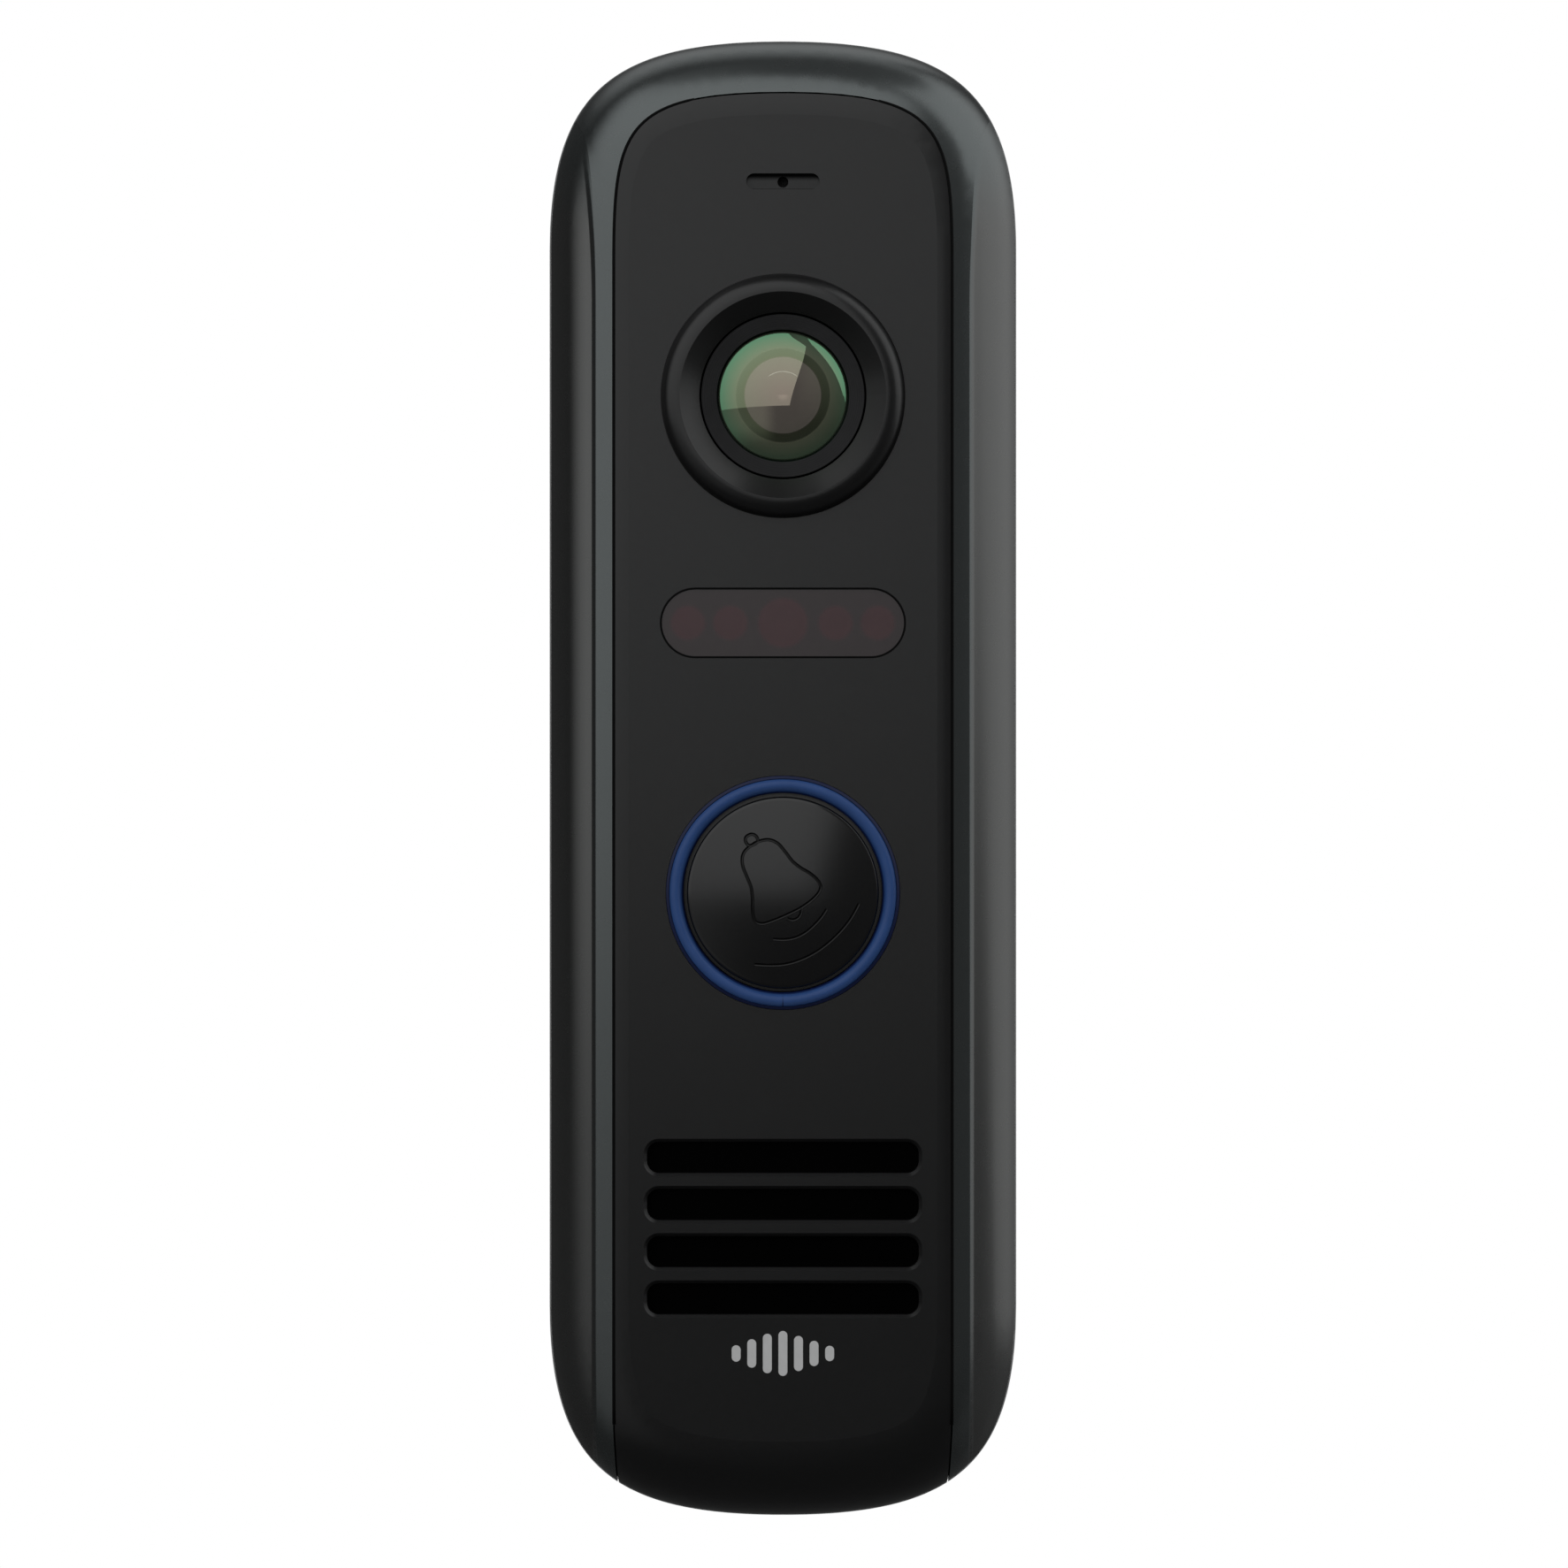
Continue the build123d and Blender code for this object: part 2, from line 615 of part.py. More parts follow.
def microphone_leads():
    route = [(-1.3, 18.3, MIC_Z), (-1.3, 13.0, MIC_Z), (-15.6, 12.5, 50.5), (-15.6, 11.0, 24.0),
             (-14.0, 9.8, 14.0)]
    return leads(2.2, route, 1.2)


# Boards

def main_board():
    board = block(0, -5.0, 33.0, 48.6, MAIN_BOARD, MAIN_BOARD_FRONT, 1.5)
    for x, z in main_board_screws():
        board -= disc(x, z, 1.1, MAIN_BOARD - 1, MAIN_BOARD + 3)
    return board


def terminal_places():
    return [-5.7 + TERMINAL_PITCH * i for i in range(4)]


def terminal_block():
    """A four-way screw terminal; its wire holes face down and its screws face the wall."""
    terminal = block(0, TERMINAL_Z, 15.2, 7.6, 4.6, MAIN_BOARD)
    for x in terminal_places():
        terminal -= disc(x, TERMINAL_Z, 1.3, 4, 9)
        terminal -= Pos(x, -9.4, TERMINAL_Z - 3) * Box(2.2, 2.2, 6)
    return terminal


def terminal_screws():
    screws = []
    for x in terminal_places():
        screw = disc(x, TERMINAL_Z, 1.2, 5.6, 8.9)
        screws.append(screw - block(x, TERMINAL_Z, 2.0, 0.4, 5, 6.1))
    return Compound(screws)


def capacitors():
    cans = []
    for x, z, radius, height in ((-12.0, -16.5, 3.15, 7.2), (-12.0, -8.6, 3.15, 7.2), (12.6, -1.6, 2.5, 6.4)):
        can = disc(x, z, radius, MAIN_BOARD - height, MAIN_BOARD)
        cans.append(can - tube(x, z, radius + 1, radius - 0.2, MAIN_BOARD - 1.6, MAIN_BOARD - 1.2))
    return Compound(cans)


def audio_transformer():
    core = block(2.0, -17.0, 10.0, 9.0, MAIN_BOARD - 7.5, MAIN_BOARD - 0.5)
    core -= block(2.0, -17.0, 6.0, 12.0, MAIN_BOARD - 5.5, MAIN_BOARD - 2.5)
    bobbin = block(2.0, -17.0, 5.8, 11.0, MAIN_BOARD - 5.4, MAIN_BOARD - 2.6)
    pins = both_sides(2.2, -5.1, 5.1)
    feet = [disc(2.0 + x, -17.0 + z, 0.35, MAIN_BOARD - 2.7, MAIN_BOARD) for x, z in pins]
    return joined([core, bobbin] + feet)


def chips():
    packages = [(-11.6, 1.0, 5.0, 6.2, 1.5), (0.0, 0.5, 9.0, 9.0, 1.2), (12.4, -12.6, 4.0, 5.0, 1.5)]
    return Compound([block(x, z, w, h, MAIN_BOARD - t, MAIN_BOARD) for x, z, w, h, t in packages])


def small_parts():
    """Chip resistors and capacitors in two rows on the back of the main board."""
    places = [(-7.5 + 2.5 * i, z) for i in range(7) for z in (-6.6, -9.8)]
    return Compound([block(x, z, 1.0, 2.0, MAIN_BOARD - 0.6, MAIN_BOARD) for x, z in places])


def connectors():
    """Sockets for the speaker and microphone leads."""
    sockets = []
    for x, z in ((5.0, -26.3), (-14.0, 13.2)):
        socket = block(x, z, 4.6, 3.0, 8.6, MAIN_BOARD)
        sockets.append(socket - block(x, z + (1.4 if z > 0 else -1.4), 3.6, 1.6, 9.1, 12.4))
    return Compound(sockets)


# Rear cover

def hook_pocket(x, z, wall):
    """The space behind a slot, where a bracket hook moves; with a wall it is the blister round it."""
    low = z - PLATE / 2 - LIFT - 0.4
    high = z + PLATE / 2 + HOOK_LIP + 0.3
    width = HOOK_WIDTH + 1.0 + 2 * wall
    return block(x, (low + high) / 2, width, high - low + 2 * wall, COVER_BACK, 5.4 + wall)


def screw_pocket(z, wall, back=COVER_BACK):
    """Room for a wall screw's head over the whole lift."""
    shape = Pos(0, z - LIFT / 2) * Rot(0, 0, 90) * SlotOverall(10.4 + LIFT + 2 * wall, 10.4 + 2 * wall)
    return prism(shape, back, 5.0 + wall)


def flange_pocket(wall, back=COVER_BACK):
    """Room for the bracket's flange and nut over the whole lift, open towards the shell's floor."""
    top = -56.7 + wall
    low = -63.9
    return block(0, (top + low) / 2, 15.0 + 2 * wall, top - low, back, FLANGE_REACH + 0.4 + wall)


def rear_cover():
    plate = prism(outline(RIM_WALL + 0.15), COVER_BACK, COVER_FRONT)
    hooks = [(x, z) for x, z in both_sides(HOOK_X, *HOOK_Z)]
    walls = [hook_pocket(x, z, POCKET_WALL) for x, z in hooks]
    walls += [screw_pocket(z, POCKET_WALL) for z in (WALL_SCREW_Z, -WALL_SCREW_Z)]
    walls.append(flange_pocket(POCKET_WALL))
    cover = joined([plate] + walls)
    cover -= prism(Pos(0, -68) * Rectangle(60, 8.2), COVER_FRONT, 30)
    for x, z in hooks:
        low = z - PLATE / 2 - LIFT - 0.4
        high = z + PLATE / 2 + 0.05
        cover -= hook_pocket(x, z, 0) & block(x, z, 30, 30, COVER_FRONT, 9)
        cover -= block(x, (low + high) / 2, HOOK_WIDTH + 1.0, high - low, COVER_BACK - 1, COVER_FRONT + 1)
    for z in (WALL_SCREW_Z, -WALL_SCREW_Z):
        cover -= screw_pocket(z, 0, COVER_BACK - 1)
    cover -= flange_pocket(0, COVER_BACK - 1)
    cover -= block(0, ENTRY_Z, *ENTRY, COVER_BACK - 1, COVER_FRONT + 1, 1.0)
    for x, z in both_sides(BOSS_X, BOSS_Z, -BOSS_Z):
        cover -= turned(x, z, [(0, 0), (2.6, 0), (2.45, COVER_BACK), (1.3, 2.6), (1.3, 5), (0, 5)])
    return cover


def rear_gasket():
    gasket = prism(outline(RIM_WALL + 0.2) - outline(MAIN_WALL - 0.1), COVER_FRONT, COVER_LEDGE)
    for x, z in both_sides(BOSS_X, BOSS_Z, -BOSS_Z):
        gasket -= disc(x, z, 3.15, COVER_FRONT - 1, COVER_LEDGE + 1)
    return gasket


def rear_cover_screws():
    screws = []
    for x, z in both_sides(BOSS_X, BOSS_Z, -BOSS_Z):
        screw = turned(x, z, [(0, 1.45), (2.35, 1.45), (1.2, 2.6), (1.0, 2.7), (1.0, 11.0), (0, 12.0)])
        screw -= block(x, z, 2.6, 0.5, 1, 2.1)
        screws.append(screw - block(x, z, 0.5, 2.6, 1, 2.1))
    return Compound(screws)


# Wall bracket and security screw

def hook(x, z):
    """A tongue pressed out of the plate, with its end turned up."""
    tongue = block(x, z, HOOK_WIDTH, PLATE, 0.4, 4.9)
    top = z + PLATE / 2 + HOOK_LIP
    return tongue + block(x, (z + top) / 2, HOOK_WIDTH, top - z, 3.7, 4.9)


def wall_bracket():
    middle = BRACKET_TOP - BRACKET_HEIGHT / 2
    upper = block(0, middle, 2 * BRACKET_SIDE, BRACKET_HEIGHT, 0, PLATE, 4.0)
    lower = block(0, -47.0, 26.0, 26.0, 0, PLATE, 3.0)
    bracket = upper + lower
    bracket += block(0, FLANGE_BOTTOM + PLATE / 2, 13.0, PLATE, 0, FLANGE_REACH)
    for z in (WALL_SCREW_Z, -WALL_SCREW_Z):
        bracket -= disc(0, z, WALL_SCREW_RADIUS, -1, PLATE + 1)
    bracket -= block(0, ENTRY_Z, 22.0, 20.0, -1, PLATE + 1, 2.0)
    for x, z in both_sides(HOOK_X, *HOOK_Z):
        bracket -= block(x, z + 2.9, HOOK_WIDTH + 0.6, 4.6, -1, PLATE + 1)
        bracket += hook(x, z)
    bracket -= upright(0, SCREW_DEPTH, 1.9, FLANGE_BOTTOM - 1, FLANGE_BOTTOM + 3)
    return bracket


def bracket_nut():
    """The threaded insert pressed into the flange."""
    low = FLANGE_BOTTOM
    nut = upright(0, SCREW_DEPTH, 1.9, low, low + PLATE)
    nut += upright(0, SCREW_DEPTH, 3.0, low + PLATE, low + PLATE + 1.5)
    return nut - upright(0, SCREW_DEPTH, SCREW_RADIUS + 0.06, low - 1, low + 5)


def security_screw():
    """A cap screw with a hexagon socket round a pin, its head sunk in the shell's lower end."""
    seal = 0.7
    head_top = SCREW_SEAT - seal
    head_low = head_top - 1.7
    screw = upright(0, SCREW_DEPTH, 2.75, head_low, head_top)
    screw += upright(0, SCREW_DEPTH, SCREW_RADIUS, head_top, -57.4)
    socket = Pos(0, -SCREW_DEPTH, head_low) * extrude(RegularPolygon(1.2, 6), amount=1.1)
    return screw - (socket - upright(0, SCREW_DEPTH, 0.45, head_low, head_low + 1.1))


def security_screw_washer():
    """A rubber washer between the screw's head and the shell."""
    washer = upright(0, SCREW_DEPTH, 2.8, SCREW_SEAT - 0.68, SCREW_SEAT - 0.02)
    return washer - upright(0, SCREW_DEPTH, SCREW_RADIUS + 0.08, SCREW_SEAT - 2, SCREW_SEAT + 1)


def camera_board_screws():
    return pan_screws(camera_screws(), CAMERA_BOARD, 5.0)


def main_board_screw_set():
    return pan_screws(main_board_screws(), MAIN_BOARD, 5.0, head_height=1.2)


def speaker_screw_set():
    return pan_screws(speaker_screws(), 18.0, 3.4, head_radius=1.5)


NODES = {
    "wall_bracket": wall_bracket,
    "bracket_nut": bracket_nut,
    "housing_shell": housing_shell,
    "wall_seal": wall_seal,
    "rear_cover": rear_cover,
    "rear_gasket": rear_gasket,
    "rear_cover_screws": rear_cover_screws,
    "faceplate": faceplate,
    "faceplate_seal": faceplate_seal,
    "camera_bezel": camera_bezel,
    "lens_o_ring": lens_o_ring,
    "lens_barrel": lens_barrel,
    "lens_front_glass": lens_front_glass,
    "lens_spacer": lens_spacer,
    "lens_inner_glass": lens_inner_glass,
    "lens_rear_glass": lens_rear_glass,
    "lens_holder": lens_holder,
    "ir_cut_filter": ir_cut_filter,
    "image_sensor": image_sensor,
    "image_processor": image_processor,
    "camera_board": camera_board,
    "camera_board_screws": camera_board_screws,
    "camera_ribbon": camera_ribbon,
    "ir_window": ir_window,
    "ir_leds": ir_leds,
    "led_holder": led_holder,
    "light_sensor": light_sensor,
    "light_ring": light_ring,
    "ring_leds": ring_leds,
    "call_button": call_button,
    "button_seal": button_seal,
    "switch_body": switch_body,
    "switch_dome": switch_dome,
    "switch_plunger": switch_plunger,
    "speaker_mesh": speaker_mesh,
    "speaker_gasket": speaker_gasket,
    "speaker_frame": speaker_frame,
    "speaker_magnet": speaker_magnet,
    "speaker_surround": speaker_surround,
    "speaker_cone": speaker_cone,
    "speaker_screws": speaker_screw_set,
    "speaker_leads": speaker_leads,
    "microphone_capsule": microphone_capsule,
    "microphone_boot": microphone_boot,
    "microphone_leads": microphone_leads,
    "main_board": main_board,
    "main_board_screws": main_board_screw_set,
    "terminal_block": terminal_block,
    "terminal_screws": terminal_screws,
    "capacitors": capacitors,
    "audio_transformer": audio_transformer,
    "chips": chips,
    "small_parts": small_parts,
    "connectors": connectors,
    "security_screw": security_screw,
    "security_screw_washer": security_screw_washer,
}

os.makedirs("parts", exist_ok=True)
for name, make in NODES.items():
    export_step(make(), f"parts/{name}.step")
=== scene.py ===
import bmesh
import bpy
import json
import math
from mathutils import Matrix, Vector


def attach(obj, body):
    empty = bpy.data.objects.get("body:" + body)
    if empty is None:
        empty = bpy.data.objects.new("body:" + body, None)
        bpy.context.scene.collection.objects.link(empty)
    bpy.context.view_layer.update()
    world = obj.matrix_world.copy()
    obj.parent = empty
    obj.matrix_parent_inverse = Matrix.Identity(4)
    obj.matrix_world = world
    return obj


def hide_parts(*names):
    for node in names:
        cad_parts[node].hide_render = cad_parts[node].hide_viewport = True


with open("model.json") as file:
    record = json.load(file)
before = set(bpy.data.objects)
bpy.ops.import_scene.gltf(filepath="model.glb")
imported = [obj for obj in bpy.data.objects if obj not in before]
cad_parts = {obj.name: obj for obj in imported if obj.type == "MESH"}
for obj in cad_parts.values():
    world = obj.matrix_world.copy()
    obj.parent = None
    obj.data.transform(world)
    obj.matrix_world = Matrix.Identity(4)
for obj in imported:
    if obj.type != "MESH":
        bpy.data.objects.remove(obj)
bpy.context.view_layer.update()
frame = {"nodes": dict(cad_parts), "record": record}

# Lengths are millimetres and angles are degrees. Across the front, x runs right and z up.
# A depth is how far a point stands out from the wall, which is towards -y.

MM = 0.001
FRONT_FACE = 24.0
CAMERA_CENTRE = (0.0, 34.85)
WINDOW_CENTRE = (0.0, 14.15)
WINDOW_WIDTH = 22.2
WINDOW_HEIGHT = 6.2
BUTTON_CENTRE = (0.0, -10.45)
MICROPHONE_CENTRE = (0.0, 54.4)
SPEAKER_CENTRE = (0.0, -41.05)
MARK_Z = -52.45

DOME_RADIUS = 62.18
DOME_APEX = 24.7
BALL_CENTRE = (0.0, DOME_RADIUS - DOME_APEX, BUTTON_CENTRE[1])

PANEL_SIDE = 15.35
PANEL_TOP = 62.45
PANEL_BEND = 46.3
PANEL_LOW = -59.0

LEDGE_SIDE = 17.0
LEDGE_BEND = 43.0
LEDGE_RISE = 16.15
LEDGE_SPREAD = 1.25

LENS_DEPTH = 24.5
CARD_DISTANCE = 500.0
FLOOR_RADIUS = 600.0
FLOOR_Z = -350.0
RAY_START = 100.0
LAMP_COLOR = (0.985, 0.995, 1.0, 1)


# Node helpers

class Tree:
    """A node tree with short calls for the few kinds of node used here."""

    def __init__(self, owner):
        owner.use_nodes = True
        self.tree = owner.node_tree
        self.nodes = self.tree.nodes
        self.links = self.tree.links

    def put(self, socket, value):
        if isinstance(value, bpy.types.NodeSocket):
            self.links.new(value, socket)
        elif value is not None:
            socket.default_value = value

    def math(self, operation, a, b=None, c=None):
        node = self.nodes.new("ShaderNodeMath")
        node.operation = operation
        for socket, value in zip(node.inputs, (a, b, c)):
            self.put(socket, value)
        return node.outputs[0]

    def vector(self, operation, a, b=None, scale=None):
        node = self.nodes.new("ShaderNodeVectorMath")
        node.operation = operation
        self.put(node.inputs[0], a)
        if b is not None:
            self.put(node.inputs[1], b)
        if scale is not None:
            self.put(node.inputs["Scale"], scale)
        return node.outputs["Value"] if operation == "LENGTH" else node.outputs[0]

    def smooth(self, value, low, high):
        """0 below low, 1 above high, with a soft step between."""
        node = self.nodes.new("ShaderNodeMapRange")
        node.interpolation_type = "SMOOTHSTEP"
        self.put(node.inputs["Value"], value)
        self.put(node.inputs["From Min"], low)
        self.put(node.inputs["From Max"], high)
        return node.outputs["Result"]

    def fade(self, value, low, high):
        return self.math("SUBTRACT", 1.0, self.smooth(value, low, high))

    def product(self, *values):
        total = values[0]
        for value in values[1:]:
            total = self.math("MULTIPLY", total, value)
        return total

    def split(self, vector):
        node = self.nodes.new("ShaderNodeSeparateXYZ")
        self.put(node.inputs[0], vector)
        return node.outputs[0], node.outputs[1], node.outputs[2]

    def mix(self, factor, a, b, blend="MIX"):
        node = self.nodes.new("ShaderNodeMix")
        node.data_type = "RGBA"
        node.blend_type = blend
        self.put(node.inputs[0], factor)
        self.put(node.inputs[6], a)
        self.put(node.inputs[7], b)
        return node.outputs[2]

    def ramp(self, value, stops, interpolation="LINEAR"):
        node = self.nodes.new("ShaderNodeValToRGB")
        node.color_ramp.interpolation = interpolation
        elements = node.color_ramp.elements
        while len(elements) < len(stops):
            elements.new(0.5)
        for element, (place, color) in zip(elements, stops):
            element.position = place
            element.color = color
        self.put(node.inputs[0], value)
        return node.outputs[0]

    def noise(self, vector, scale, detail=3.0, rough=0.55):
        node = self.nodes.new("ShaderNodeTexNoise")
        self.put(node.inputs["Vector"], vector)
        node.inputs["Scale"].default_value = scale
        node.inputs["Detail"].default_value = detail
        node.inputs["Roughness"].default_value = rough
        return node.outputs["Fac"]

    def wave(self, vector, scale, direction="X", rings=False):
        node = self.nodes.new("ShaderNodeTexWave")
        node.wave_type = "RINGS" if rings else "BANDS"
        if rings:
            node.rings_direction = direction
        else:
            node.bands_direction = direction
        self.put(node.inputs["Vector"], vector)
        node.inputs["Scale"].default_value = scale
        node.inputs["Distortion"].default_value = 0.0
        return node.outputs["Fac"]

    def bump(self, height, microns, normal=None):
        node = self.nodes.new("ShaderNodeBump")
        node.inputs["Strength"].default_value = 1.0
        node.inputs["Distance"].default_value = microns * 1e-6
        self.put(node.inputs["Height"], height)
        if normal is not None:
            self.put(node.inputs["Normal"], normal)
        return node.outputs[0]


def rgba(color, gain=1.0):
    return (color[0] * gain, color[1] * gain, color[2] * gain, 1.0)


# Materials. Lengths in them are millimetres of the object's own coordinates.

class Surface(Tree):
    def __init__(self, name, rough, metallic=0.0, ior=1.5, coat=0.0, coat_rough=0.1):
        self.material = bpy.data.materials.new(name)
        super().__init__(self.material)
        self.shader = self.nodes["Principled BSDF"]
        self.shader.inputs["Metallic"].default_value = metallic
        self.shader.inputs["IOR"].default_value = ior
        self.shader.inputs["Coat Weight"].default_value = coat
        self.shader.inputs["Coat Roughness"].default_value = coat_rough
        self.rough = rough
        place = self.nodes.new("ShaderNodeTexCoord")
        self.mm = self.vector("SCALE", place.outputs["Object"], scale=1000.0)

    def about(self, centre):
        """Coordinates from a point of the front, and the distance from it across the front."""
        moved = self.vector("SUBTRACT", self.mm, (centre[0], 0.0, centre[1]))
        flat = self.vector("MULTIPLY", moved, (1.0, 0.0, 1.0))
        return moved, self.vector("LENGTH", flat)

    def color(self, color, mottle=0.12, scale=0.35):
        """The base colour, slightly uneven over a few millimetres."""
        cloud = self.noise(self.mm, scale, detail=4.0)
        if isinstance(color, bpy.types.NodeSocket):
            tone = self.ramp(cloud, [(0.25, rgba((1, 1, 1), 1 - mottle)), (0.75, rgba((1, 1, 1), 1))])
            color = self.mix(1.0, color, tone, "MULTIPLY")
        else:
            color = self.ramp(cloud, [(0.25, rgba(color, 1 - mottle)), (0.75, rgba(color, 1 + mottle))])
        self.put(self.shader.inputs["Base Color"], color)

    def polish(self, spread=0.12, scale=0.8):
        """Roughness that wanders round its middle value."""
        cloud = self.noise(self.mm, scale, detail=5.0)
        low = self.rough * (1 - spread)
        wander = self.math("MULTIPLY_ADD", cloud, 2 * self.rough * spread, low)
        self.put(self.shader.inputs["Roughness"], wander)

    def relief(self, height, microns):
        self.put(self.shader.inputs["Normal"], self.bump(height, microns))


def moulded(name, color, rough, grain=3.0, microns=4.0, mottle=0.10, **more):
    """Moulded plastic, rubber or foam: a pebbled skin and slight unevenness."""
    s = Surface(name, rough, **more)
    s.color(color, mottle)
    s.polish()
    s.relief(s.noise(s.mm, grain, detail=6.0, rough=0.6), microns)
    return s.material


def drawn_metal(name, color, rough, stretch=(0.25, 1.0, 6.0), microns=1.2, **more):
    """Rolled or plated metal with fine directional marks."""
    s = Surface(name, rough, metallic=1.0, **more)
    s.color(color, 0.08, 0.5)
    marks = s.noise(s.vector("MULTIPLY", s.mm, stretch), 4.0, detail=5.0)
    low = rough * 0.75
    s.put(s.shader.inputs["Roughness"], s.math("MULTIPLY_ADD", marks, rough * 0.5, low))
    s.relief(marks, microns)
    return s.material


def shell_paint():
    """Satin gunmetal paint with a fine metallic fleck, and the sunken strip down each side."""
    s = Surface("shell_paint", 0.27, metallic=0.92)
    fleck = s.noise(s.mm, 9.0, detail=2.0)
    tone = s.ramp(fleck, [(0.30, rgba((0.094, 0.103, 0.103))), (0.70, rgba((0.099, 0.108, 0.108)))])
    x, y, z = s.split(s.mm)
    above_bend = s.math("DIVIDE", s.math("SUBTRACT", z, LEDGE_BEND), LEDGE_RISE)
    rise = s.math("MINIMUM", s.math("MAXIMUM", above_bend, 0.0), 1.0)
    ledge = s.math("MULTIPLY_ADD", s.math("POWER", rise, 2.0), LEDGE_SPREAD, LEDGE_SIDE)
    beyond = s.math("SUBTRACT", s.math("ABSOLUTE", x), ledge)
    below_tip = s.fade(rise, 0.4, 1.0)
    strip = s.product(s.smooth(beyond, 0.0, 0.5), below_tip)
    s.color(s.mix(strip, tone, rgba((0.103, 0.104, 0.102))), 0.03, 0.2)
    s.polish(0.06)
    grain = s.bump(s.noise(s.mm, 5.0, detail=4.0), 0.12)
    dish = s.product(s.smooth(beyond, 0.5, 2.6), below_tip)
    step = s.bump(s.math("MULTIPLY_ADD", dish, -0.6, strip), -170.0, grain)
    s.put(s.shader.inputs["Normal"], step)
    return s.material


def faceplate_plastic():
    """Black plastic with a fine spark-eroded texture, and painted shade that makes it black and dull inside
    its openings and along the microphone slot's top and bottom edges.
    """
    s = Surface("faceplate_plastic", 0.30, ior=1.45)
    x, y, z = s.split(s.mm)
    depth = s.math("MULTIPLY", y, -1.0)
    sunken = s.fade(depth, 23.4, 23.9)
    # Painted shade: black deep inside the speaker openings, and dark along the microphone slot's top and
    # bottom edges.
    opening_shade = s.product(s.fade(depth, 22.3, 23.0), s.smooth(z, -52.0, -50.5))
    slot_roof_shade = s.product(s.smooth(z, 54.45, 55.0), s.fade(z, 55.4, 55.5), sunken)
    slot_sill_shade = s.product(s.smooth(z, 53.4, 53.5), s.fade(z, 53.72, 53.84), sunken)
    painted_shade = s.math("MAXIMUM", s.math("MAXIMUM", opening_shade, slot_roof_shade), slot_sill_shade)
    # The painted shade gets a near-black colour and almost no reflection.
    s.color(s.mix(painted_shade, rgba((0.0048, 0.0048, 0.0050)), rgba((0.0003, 0.0003, 0.0003))), 0.15, 0.3)
    s.put(s.shader.inputs["Specular IOR Level"], s.math("MULTIPLY_ADD", painted_shade, -0.47, 0.5))
    s.polish(0.10, 1.5)
    fine = s.noise(s.mm, 5.5, detail=5.0, rough=0.65)
    s.relief(fine, 5.0)
    return s.material


def button_plastic():
    """Polished black plastic with faint moulding waviness, and painted shade that darkens and dulls the
    engraving.
    """
    s = Surface("button_plastic", 0.18)
    from_ball = s.vector("LENGTH", s.vector("SUBTRACT", s.mm, BALL_CENTRE))
    below_dome = s.fade(from_ball, DOME_RADIUS - 0.11, DOME_RADIUS - 0.02)
    # Painted shade: darker and less glossy below the dome's surface, in the cut grooves.
    groove_shade = s.product(below_dome, s.fade(s.about(BUTTON_CENTRE)[1], 8.2, 8.3))
    s.color(s.mix(groove_shade, rgba((0.0042, 0.0042, 0.0044)), rgba((0.0004, 0.0004, 0.0004))), 0.10)
    s.put(s.shader.inputs["Specular IOR Level"], s.math("MULTIPLY_ADD", groove_shade, -0.24, 0.5))
    s.polish(0.15, 2.0)
    s.relief(s.noise(s.mm, 4.0, detail=3.0), 0.3)
    return s.material


def ring_plastic():
    """Blue light guide: a broad even band, with painted shade darkening its outer rim and its inner wall."""
    s = Surface("ring_plastic", 0.45)
    s.shader.inputs["Specular IOR Level"].default_value = 0.25
    moved, radius = s.about(BUTTON_CENTRE)
    step = s.math("DIVIDE", s.math("SUBTRACT", radius, 9.0), 2.0)
    # The dark rim and the darker inner wall are painted shade; the same navy also colours the real gate seam
    # at the bottom.
    rim_shade_and_seam_navy, band, inner_wall_shade = (0.003, 0.008, 0.045), (0.026, 0.072, 0.225), (0.004, 0.012, 0.065)
    tone = s.ramp(step, [(0.10, rgba(inner_wall_shade)), (0.15, rgba(band)), (0.66, rgba(band)), (0.70, rgba(rim_shade_and_seam_navy))])
    x, y, z = s.split(moved)
    seam = s.product(s.fade(s.math("ABSOLUTE", x), 0.03, 0.09), s.fade(z, -10.6, -9.0))
    s.color(s.mix(seam, tone, rgba(rim_shade_and_seam_navy)), 0.12, 0.5)
    s.polish(0.1)
    s.relief(s.noise(s.mm, 1.5, detail=2.0), 1.0)
    return s.material


def window_plastic():
    """Infrared-pass plastic, nearly black, with the parts behind it faintly showing."""
    s = Surface("window_plastic", 0.22)
    shown = None
    for x, radius in ((-8.65, 1.5), (-4.8, 1.5), (0.0, 2.2), (4.8, 1.5), (8.65, 1.5)):
        away = s.about((x, WINDOW_CENTRE[1]))[1]
        spot = s.fade(away, radius - 0.25, radius + 0.35)
        shown = spot if shown is None else s.math("MAXIMUM", shown, spot)
    s.color(s.mix(shown, rgba((0.0150, 0.0075, 0.0085)), rgba((0.036, 0.0070, 0.010))), 0.15, 0.6)
    s.polish(0.12)
    s.relief(s.noise(s.mm, 1.0, detail=2.0), 0.5)
    return s.material


